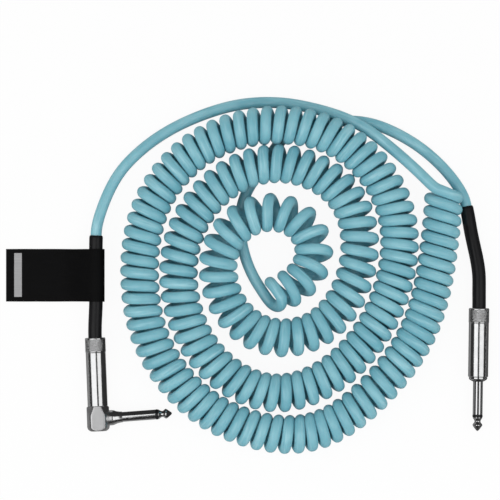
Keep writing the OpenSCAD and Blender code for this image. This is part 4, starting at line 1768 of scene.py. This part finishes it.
@dataclass
class AngledHead:
    """Head of the angled plug, with its cap and its shaft.

    It is a bar with two flats, bevelled corners and a rounded foot, with a flared neck for the
    shaft and a threaded collar for the shell.
    """

    place: PlugPlace
    jack: Jack
    bar: float = 14.5
    length: float = 16.0
    flats: float = 11.6
    foot: float = 3.0
    brow: float = 0.7
    bevel_start: float = 8.0
    bevel_slope: float = 0.4
    edge_power: float = 70.0
    least_sine: float = 0.001
    collar: float = 10.0
    collar_length: float = 6.0
    collar_bore: float = 8.0
    collar_chamfer: float = 0.25
    chamber: float = 9.6
    chamber_front: float = 1.5
    cap: float = 10.4
    cap_thickness: float = 2.4
    stub: float = 5.4
    stub_rear: float = -10.6
    segments: int = 288
    neck_segments: int = 144
    shaft_segments: int = 128
    collar_rings: int = 56
    bar_rings: int = 26
    foot_steps: int = 14
    slot_length: float = 7.0
    slot_width: float = 1.0
    slot_depth: float = 0.8
    cap_gap: float = 0.03
    cap_sunk: float = 0.02
    drill_rear: float = -12.2
    drill_front: float = -4.0

    def relief(self) -> Relief:
        """The flats, the bevels at the brow and the thread on the collar.

        Returns:
            What they make of the radius.
        """
        thread = thread_relief(-self.collar_length + 0.1, -0.5, self.collar / 2)

        def cut(angle: Points, height: Points, radius: Points) -> Points:
            """Take the least of bar, flats and bevels, with softly rounded edges between.

            Args:
                angle: each vertex's angle round the piece.
                height: its height in millimetres.
                radius: its radius in millimetres.

            Returns:
                The new radius.
            """
            cos, sin = np.abs(np.cos(angle)), np.abs(np.sin(angle))
            flat = self.flats / 2 / np.maximum(sin, self.least_sine)
            bevel = (self.bevel_start + self.bevel_slope * height) / (cos + sin)
            power = -self.edge_power
            least = (np.power(radius, power) + np.power(flat, power)
                     + np.power(bevel, power)) ** (1 / power)
            head = (height > -WALL_SLACK) & (radius > self.cap / 2 + WALL_SLACK)
            return np.where(head, least, thread(angle, height, radius))

        return cut

    def outline(self) -> Points:
        """Outline of the bar with its collar, chamber and cap recess.

        Returns:
            The outline's points.
        """
        bar, foot, end = self.bar / 2, self.foot, self.length
        collar, rear = self.collar / 2, -self.collar_length
        edge = (collar, rear + self.collar_chamfer)
        outside = [(collar - self.collar_chamfer, rear, 0.1), edge]
        outside += divided(edge, (collar, -0.4), self.collar_rings)
        outside += [(collar, 0.0), (bar - self.brow, 0.0, 0.1), (bar, self.brow, 0.3)]
        outside += divided((bar, self.brow + 0.3), (bar, end - foot), self.bar_rings)
        lip = self.cap / 2 + 2 * self.cap_gap
        last = math.acos((lip - bar + foot) / foot)
        for k in range(self.foot_steps + 1):
            angle = last * k / self.foot_steps
            outside.append((bar - foot + foot * math.cos(angle),
                            end - foot + foot * math.sin(angle)))
        inside = [
            (self.cap / 2, end), (self.cap / 2, end - self.cap_thickness),
            (self.chamber / 2, end - self.cap_thickness), (self.chamber / 2, self.chamber_front),
            (self.collar_bore / 2, self.chamber_front), (self.collar_bore / 2, -self.collar_length)
        ]
        return filleted([*outside, *inside])

    def neck(self) -> Piece:
        """The flared neck between the bar and the shaft, with the bore for the shaft's stub.

        Returns:
            The neck, to be joined to the bar.
        """
        bore = self.stub / 2
        corners = [(bore, NECK_PROFILE[0][1]), *NECK_PROFILE, (bore, 0.0)]
        return lathe("neck", filleted(corners), HEAD_PLATE, self.place.shoulder(),
                     self.neck_segments)

    def drill(self) -> Piece:
        """The tool that drills the stub's bore through the bar's wall.

        Returns:
            The tool.
        """
        radius, rear, front = self.stub / 2, self.drill_rear, self.drill_front
        corners = [(0, rear), (radius, rear), (radius, front), (0, front)]
        return lathe("drill", np.array(corners), HEAD_PLATE, self.place.shoulder(), closed=False)

    def shaft_piece(self) -> Piece:
        """The shaft with the stub that is pressed into the neck.

        Returns:
            The shaft.
        """
        bore, stub = self.jack.bore / 2, self.stub / 2
        corners = [(bore, self.stub_rear), (stub, self.stub_rear, 0.1), (stub, 0.0),
                   (self.jack.shaft / 2, 0.0, 0.1), *self.jack.shaft_corners(),
                   (bore, self.jack.shaft_length)]
        made = lathe(self.place.named("jack_shaft"), filleted(corners), CONTACT_PLATE,
                     self.place.shoulder(), self.shaft_segments)
        return self.place.carry(made, "shaft")

    def cap_piece(self) -> Piece:
        """The slotted plug that closes the chamber at the foot.

        Returns:
            The cap.
        """
        rear, front = self.length - self.cap_thickness, self.length - self.cap_sunk
        radius = self.cap / 2 - self.cap_gap
        corners = [(0, rear), (radius, rear, 0.1), (radius, front, 0.25), (0, front)]
        frame = self.place.frame()
        made = lathe(self.place.named("foot_cap"), filleted(corners, closed=False), HEAD_PLATE,
                     frame, closed=False)
        far, wide = self.slot_length / 2, self.slot_width / 2
        slot = box_object("slot", (-far, -wide, front - self.slot_depth), (far, wide, front + 1),
                          frame, HEAD_PLATE)
        joined_by(made, slot, "DIFFERENCE")
        return self.place.carry(made, "head_cap")

    def build(self) -> list[Piece]:
        """Make the head, its cap and the shaft.

        Returns:
            All three pieces.
        """
        head = lathe(self.place.named("plug_head"), self.outline(), HEAD_PLATE, self.place.frame(),
                     self.segments, self.relief())
        joined_by(head, self.drill(), "DIFFERENCE")
        joined_by(head, self.neck(), "UNION")
        return [self.place.carry(head, "head"), self.cap_piece(), self.shaft_piece()]


@dataclass
class PlugInside:
    """What the shell hides: carried-over solids that get their finishes here."""

    place: PlugPlace

    def dress(self) -> None:
        """Give each inner node its finish."""
        finishes = {
            "insulating_tube": CLEAR, "rear_washer": FIBRE, "tip_lug": BRASS, "earth_lug": BRASS,
            "core": CORE, "conductor": COPPER, "screen": COPPER, "solder": TIN,
        }
        for piece, finish in finishes.items():
            node = bpy.data.objects[self.place.named(piece)]
            node.data.materials.clear()
            node.data.materials.append(finish.material())
            log.info("%s: %s", node.name, finish.name)


# ---- The tag ----


@dataclass
class RibbonTag:
    """Woven ribbon folded round the angled plug's sleeve, its two layers lying on each other."""

    middle: tuple[float, float, float] = (-98.05, 27.5, 6.6)
    reach: float = 58.5
    width: float = 34.0
    thickness: float = 0.36
    loop: float = 5.35
    along_steps: int = 260
    across_steps: int = 56
    waviness: float = 0.14
    corner_lift: float = 0.10
    rim: float = 0.3
    lower_height: float = 0.26
    upper_height: float = 0.95
    run_in: float = 8.0
    turn_step: int = 30
    per_span: int = 12

    def centre_line(self) -> Points:
        """Middle of the ribbon's thickness, seen along the sleeve.

        Returns:
            Points in x and z, from the lower layer's end to the upper's.
        """
        x, _, z = self.middle
        ends = (-self.reach - self.run_in, -self.reach, -self.reach + self.run_in)
        lower = [(place, self.lower_height) for place in (*ends, -42, -34)]
        lower += [(-27, 0.27), (-21, 0.32), (-15, 0.55), (-10, 0.95), (-5.5, 1.32)]
        guide_radius = self.loop * 3 / (2 + math.cos(math.radians(self.turn_step)))
        turn = [(guide_radius * math.cos(a), z + guide_radius * math.sin(a))
                for a in (math.radians(d) for d in range(-90, 121, self.turn_step))]
        upper = [(-7.6, 8.2), (-12.5, 5.35), (-17, 2.85), (-21.5, 1.3), (-26, 0.98)]
        upper += [(place, self.upper_height) for place in (-32, -40, *reversed(ends))]
        guides = np.array([*lower, *turn, *upper]) + np.array([x, 0])
        return Route(guides).sampled(self.per_span)

    def spaced_line(self) -> tuple[Points, Points]:
        """The centre line at even distances, and those distances.

        Returns:
            The points and their distances from the start.
        """
        line = self.centre_line()
        along = distances(line)
        even = np.linspace(0, along[-1], self.along_steps + 1)
        return np.stack([np.interp(even, along, line[:, k]) for k in range(2)], 1), even

    def build(self) -> Piece:
        """Returns:
            The tag.
        """
        line, even = self.spaced_line()
        length = float(even[-1])
        heading = unit(np.gradient(line, axis=0))
        outward = np.stack([heading[:, 1], -heading[:, 0]], axis=1)
        across = np.linspace(-0.5, 0.5, self.across_steps + 1) * self.width
        s, w = np.meshgrid(even, across, indexing="ij")
        x = np.repeat(line[:, :1], len(across), 1)
        z = np.repeat(line[:, 1:], len(across), 1)
        upper = np.clip((s - length / 2) / (length / 2), 0, 1)
        free = np.clip((length - s) / 6, 0, 1) * np.clip((s - length * 0.62) / 12, 0, 1)
        z = z + self.waviness * self.ripple(s, w) * free
        corner = np.clip((np.abs(w) / (self.width / 2) - 0.72) / 0.28, 0, 1) ** 2
        z = z + self.corner_lift * corner * upper * np.clip((s - length * 0.7) / 20, 0, 1)
        y = self.middle[1] + w * (1 + 0.004 * np.sin(s * 0.13))
        centre = np.stack([x, y, z], axis=-1)
        out = np.zeros_like(centre)
        out[..., 0] = outward[:, None, 0]
        out[..., 2] = outward[:, None, 1]
        rim = np.clip((self.width / 2 - np.abs(w)) / self.rim, 0, 1)
        half = self.thickness / 2 * (0.55 + 0.45 * np.sqrt(rim))[..., None]
        return self.closed(centre, out * half, s, w, length)

    def ripple(self, s: Points, w: Points) -> Points:
        """Soft waves of the ribbon.

        Args:
            s: distance along the ribbon, in millimetres.
            w: distance across it.

        Returns:
            Their height, of which waviness is the unit.
        """
        return (np.sin(s * 0.19 + 0.6) * np.cos(w * 0.11 + 0.4)
                + 0.6 * np.sin(w * 0.23 + 1.1 + s * 0.05) + 0.35 * np.sin(s * 0.4 + w * 0.2))

    def closed(self, centre: Points, offset: Points, s: Points, w: Points, length: float) -> Piece:
        """Close the two faces of the ribbon round its edges.

        Args:
            centre: grid of the ribbon's middle surface.
            offset: half its thickness as a vector towards its outer face.
            s: distance along the ribbon on the grid.
            w: distance across it.
            length: the ribbon's whole length.

        Returns:
            The tag.
        """
        rows, columns = s.shape
        points = np.concatenate([(centre + way * offset).reshape(-1, 3) for way in (1, -1)])
        lay = np.concatenate([np.stack([w * MM, s * MM, np.full_like(s, face)], -1).reshape(-1, 3)
                              for face in (1, 0)])
        count = rows * columns

        def at(i: int, k: int, layer: int) -> int:
            """Number of the vertex in row i and column k of a face."""
            return layer * count + i * columns + k

        faces = []
        for i in range(rows - 1):
            for k in range(columns - 1):
                faces.append((at(i, k, 0), at(i + 1, k, 0), at(i + 1, k + 1, 0), at(i, k + 1, 0)))
                faces.append((at(i, k, 1), at(i, k + 1, 1), at(i + 1, k + 1, 1), at(i + 1, k, 1)))
        for i in range(rows - 1):
            far = columns - 1
            faces.append((at(i, 0, 0), at(i, 0, 1), at(i + 1, 0, 1), at(i + 1, 0, 0)))
            faces.append((at(i, far, 0), at(i + 1, far, 0), at(i + 1, far, 1), at(i, far, 1)))
        for k in range(columns - 1):
            far = rows - 1
            faces.append((at(0, k, 0), at(0, k + 1, 0), at(0, k + 1, 1), at(0, k, 1)))
            faces.append((at(far, k, 0), at(far, k, 1), at(far, k + 1, 1), at(far, k + 1, 0)))
        finish = RibbonFinish("woven ribbon", Slot.TAG, length=length * MM, width=self.width * MM)
        made = mesh_object("ribbon_tag", points, faces, lay, finish, SHARP_RIBBON_EDGE)
        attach(made, Body.TAG.value)
        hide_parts("tag")
        log.info("ribbon_tag: %.1f by %.1f mm laid flat", length, self.width)
        return made


# ---- The studio ----


@dataclass(frozen=True)
class Lamp:
    """A soft area lamp that faces straight down: where it is, its sides and its power."""

    name: str
    place: tuple[float, float, float]
    size: tuple[float, float]
    power: float


@dataclass(frozen=True)
class Card:
    """A card that only reflections see, glowing at its shade to paint a dark or grey reflection:
    its middle, its sides and the way it faces.
    """

    name: str
    middle: tuple[float, float, float]
    size: tuple[float, float]
    facing: tuple[float, float, float]
    shade: float = 0.03


@dataclass
class Studio:
    """Pale floor, soft lamps, the cards that paint dark and grey reflections, and the camera
    straight above.
    """

    picture: int = 500
    metres_per_pixel: float = 0.000645
    origin_column: float = 248.0
    origin_row: float = 318.0
    camera_height: float = 2.3
    plane: float = 0.008
    sensor: float = 36.0
    clip: tuple[float, float] = (0.05, 50.0)
    ambient: float = 0.6
    floor_size: float = 14.0
    floor_drop: float = 0.0002
    floor_white: float = 0.92
    floor_glow: float = 0.93
    lamps: tuple[Lamp, ...] = (
        Lamp("left_softbox", (-1.175, -0.40, 1.30), (2.15, 1.54), 11.7),
        Lamp("right_softbox", (1.29, -0.40, 1.30), (1.93, 1.54), 9.4),
    )
    # Painted reflections: dark cards for dark surroundings, and grey ones (shade 0.1 to 0.3) for a
    # grey floor near and under the plugs
    cards: tuple[Card, ...] = (
        Card("ceiling_card", (0.0, 0.6, 1.36), (5.2, 4.8), (0, 0, -1)),
        Card("left_card", (-2.6, 0.6, 0.68), (4.8, 1.36), (1, 0, 0)),
        Card("right_card", (2.6, 0.6, 0.68), (4.8, 1.36), (-1, 0, 0)),
        Card("front_card", (0.0, -1.8, 0.68), (5.2, 1.36), (0, 1, 0)),
        Card("back_card", (0.0, 3.0, 0.68), (5.2, 1.36), (0, -1, 0)),
        Card("floor_card", (0.0, 0.03, 0.00004), (1.2, 1.2), (0, 0, 1), 0.1),
        Card("angled_shell_card", (-0.0855, 0.0005, 0.0088), (0.119, 0.0176), (-1, 0, 0)),
        Card("angled_jack_card", (-0.065, -0.054, 0.009), (0.041, 0.018), (0, -1, 0)),
        Card("straight_shell_card", (0.1385, -0.01, 0.013), (0.14, 0.008), (1, 0, 0)),
        Card("straight_low_card", (0.1385, -0.01, 0.0045), (0.14, 0.009), (1, 0, 0), 0.25),
        Card("angled_tip_card", (-0.0475, -0.062, 0.009), (0.018, 0.018), (-1, 0, 0)),
        Card("straight_shaft_card", (0.1493, -0.054, 0.0215), (0.0105, 0.025), (0, 0, -1)),
        Card("under_angled_plug", (-0.0965, -0.045, 0.00008), (0.12, 0.1), (0, 0, 1), 0.3),
    )

    def camera(self) -> Piece:
        """Make the camera, level over the middle of the picture.

        Returns:
            The camera.
        """
        half = self.picture / 2
        x = (half - self.origin_column) * self.metres_per_pixel
        y = (self.origin_row - half) * self.metres_per_pixel
        data = bpy.data.cameras.new("camera")
        data.sensor_width = self.sensor
        span = self.picture * self.metres_per_pixel
        data.lens = self.sensor * (self.camera_height - self.plane) / span
        data.clip_start, data.clip_end = self.clip
        made = linked("camera", data)
        made.location = (x, y, self.camera_height)
        bpy.context.scene.camera = made
        return made

    def seen_directly(self, graph: Graph) -> Socket:
        """1 for camera, glossy and transmission rays, and 0 for light that falls on things.

        Args:
            graph: the material's or the world's graph.

        Returns:
            The mask.
        """
        path = graph.add("ShaderNodeLightPath").outputs
        seen = graph.math("MAXIMUM", path["Is Camera Ray"], path["Is Glossy Ray"])
        return graph.math("MAXIMUM", seen, path["Is Transmission Ray"])

    def world(self) -> None:
        """White where it is seen, and a plain soft light where it falls on things."""
        world = bpy.data.worlds.new("studio")
        world.use_nodes = True
        bpy.context.scene.world = world
        graph = Graph(world.node_tree)
        seen = self.seen_directly(graph)
        strength = graph.between(seen, 0.0, 1.0, False, self.ambient, 1.0)
        background = graph.add("ShaderNodeBackground", {"Color": (1, 1, 1), "Strength": strength})
        graph.show(background.outputs[0], "ShaderNodeOutputWorld")

    def plane_object(self, name: str, middle: Sequence[float], size: Sequence[float],
                     facing: Sequence[float], material: bpy.types.Material) -> Piece:
        """A rectangle that faces a direction.

        Args:
            name: the rectangle's name.
            middle: its middle, in metres.
            size: its two sides, in metres.
            facing: the direction that it faces.
            material: its material.

        Returns:
            The rectangle.
        """
        mesh = bpy.data.meshes.new(name)
        half_x, half_y = size[0] / 2, size[1] / 2
        corners = [(-half_x, -half_y, 0), (half_x, -half_y, 0), (half_x, half_y, 0),
                   (-half_x, half_y, 0)]
        mesh.from_pydata(corners, [], [(0, 1, 2, 3)])
        mesh.materials.append(material)
        made = linked(name, mesh)
        made.location = middle
        made.rotation_mode = "QUATERNION"
        made.rotation_quaternion = Vector(facing).to_track_quat("Z", "Y")
        return made

    def floor(self) -> Piece:
        """Pale floor that keeps a faint shadow.

        Returns:
            The floor.
        """
        material, graph = blank_material("pale floor")
        tone = graph.between(graph.noise(graph.place(), 3.0), 0.3, 0.7, False, 0.0, 1.0)
        white = self.floor_white
        colour = graph.blend(tone, (white, white, white), (white - 0.01,) * 3)
        matt = graph.add("ShaderNodeBsdfDiffuse", {"Color": colour})
        glow = graph.add("ShaderNodeEmission", {"Color": (1, 1, 1), "Strength": 1.0})
        share = graph.math("MULTIPLY", self.seen_directly(graph), self.floor_glow)
        mixed = graph.add("ShaderNodeMixShader", {0: share, 1: matt.outputs[0],
                                                  2: glow.outputs[0]})
        graph.show(mixed.outputs[0])
        return self.plane_object("pale_floor", (0, 0, -self.floor_drop), (self.floor_size,) * 2,
                                 (0, 0, 1), material)

    def hang(self, card: Card) -> Piece:
        """Make a card that only reflections see, which paints a dark or grey reflection by its
        glow.

        Args:
            card: what the card is like.

        Returns:
            The card.
        """
        material, graph = blank_material(card.name)
        glow = graph.add("ShaderNodeEmission", {"Color": (1, 1, 1), "Strength": card.shade})
        graph.show(glow.outputs[0])
        made = self.plane_object(card.name, card.middle, card.size, card.facing, material)
        for ray in ("camera", "diffuse", "shadow", "transmission", "volume_scatter"):
            setattr(made, f"visible_{ray}", False)
        return made

    def light(self, lamp: Lamp) -> Piece:
        """Make a lamp.

        Args:
            lamp: what the lamp is like.

        Returns:
            The lamp.
        """
        data = bpy.data.lights.new(lamp.name, "AREA")
        data.shape = "RECTANGLE"
        data.size, data.size_y = lamp.size
        data.energy = lamp.power
        made = linked(lamp.name, data)
        made.location = lamp.place
        made.visible_camera = False
        return made

    def build(self) -> None:
        """Set up the light, the floor and the colour handling."""
        bpy.context.scene.view_settings.view_transform = "Standard"
        self.world()
        self.floor()
        for lamp in self.lamps:
            self.light(lamp)
        for card in self.cards:
            self.hang(card)
        log.info("studio: %d lamps, %d cards", len(self.lamps), len(self.cards))


def main() -> None:
    """Build the cable round its frame."""
    logging.basicConfig(level=logging.INFO, format="%(name)s: %(message)s")
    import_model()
    studio = Studio()
    studio.camera()
    CurlyCord().build()
    angled = PlugPlace(PlugKind.ANGLED, (-97.0, -57.0, 6.6), 2.2)
    straight = PlugPlace(PlugKind.STRAIGHT, (148.5, -38.0, 6.6), -0.8)
    angled_jack = Jack(angled, back=-10.6, washer=0.9)
    straight_jack = Jack(straight, back=-9.0, washer=1.0)
    AngledHead(angled, angled_jack).build()
    StraightBody(straight, straight_jack).build()
    for place, jack, body in ((angled, angled_jack, Body.ANGLED_GRIP),
                              (straight, straight_jack, Body.STRAIGHT_GRIP)):
        jack.build()
        Shell(place, body).build()
        Sleeve(place).build()
        PlugInside(place).dress()
    RibbonTag().build()
    studio.build()


if __name__ == "__main__":
    main()
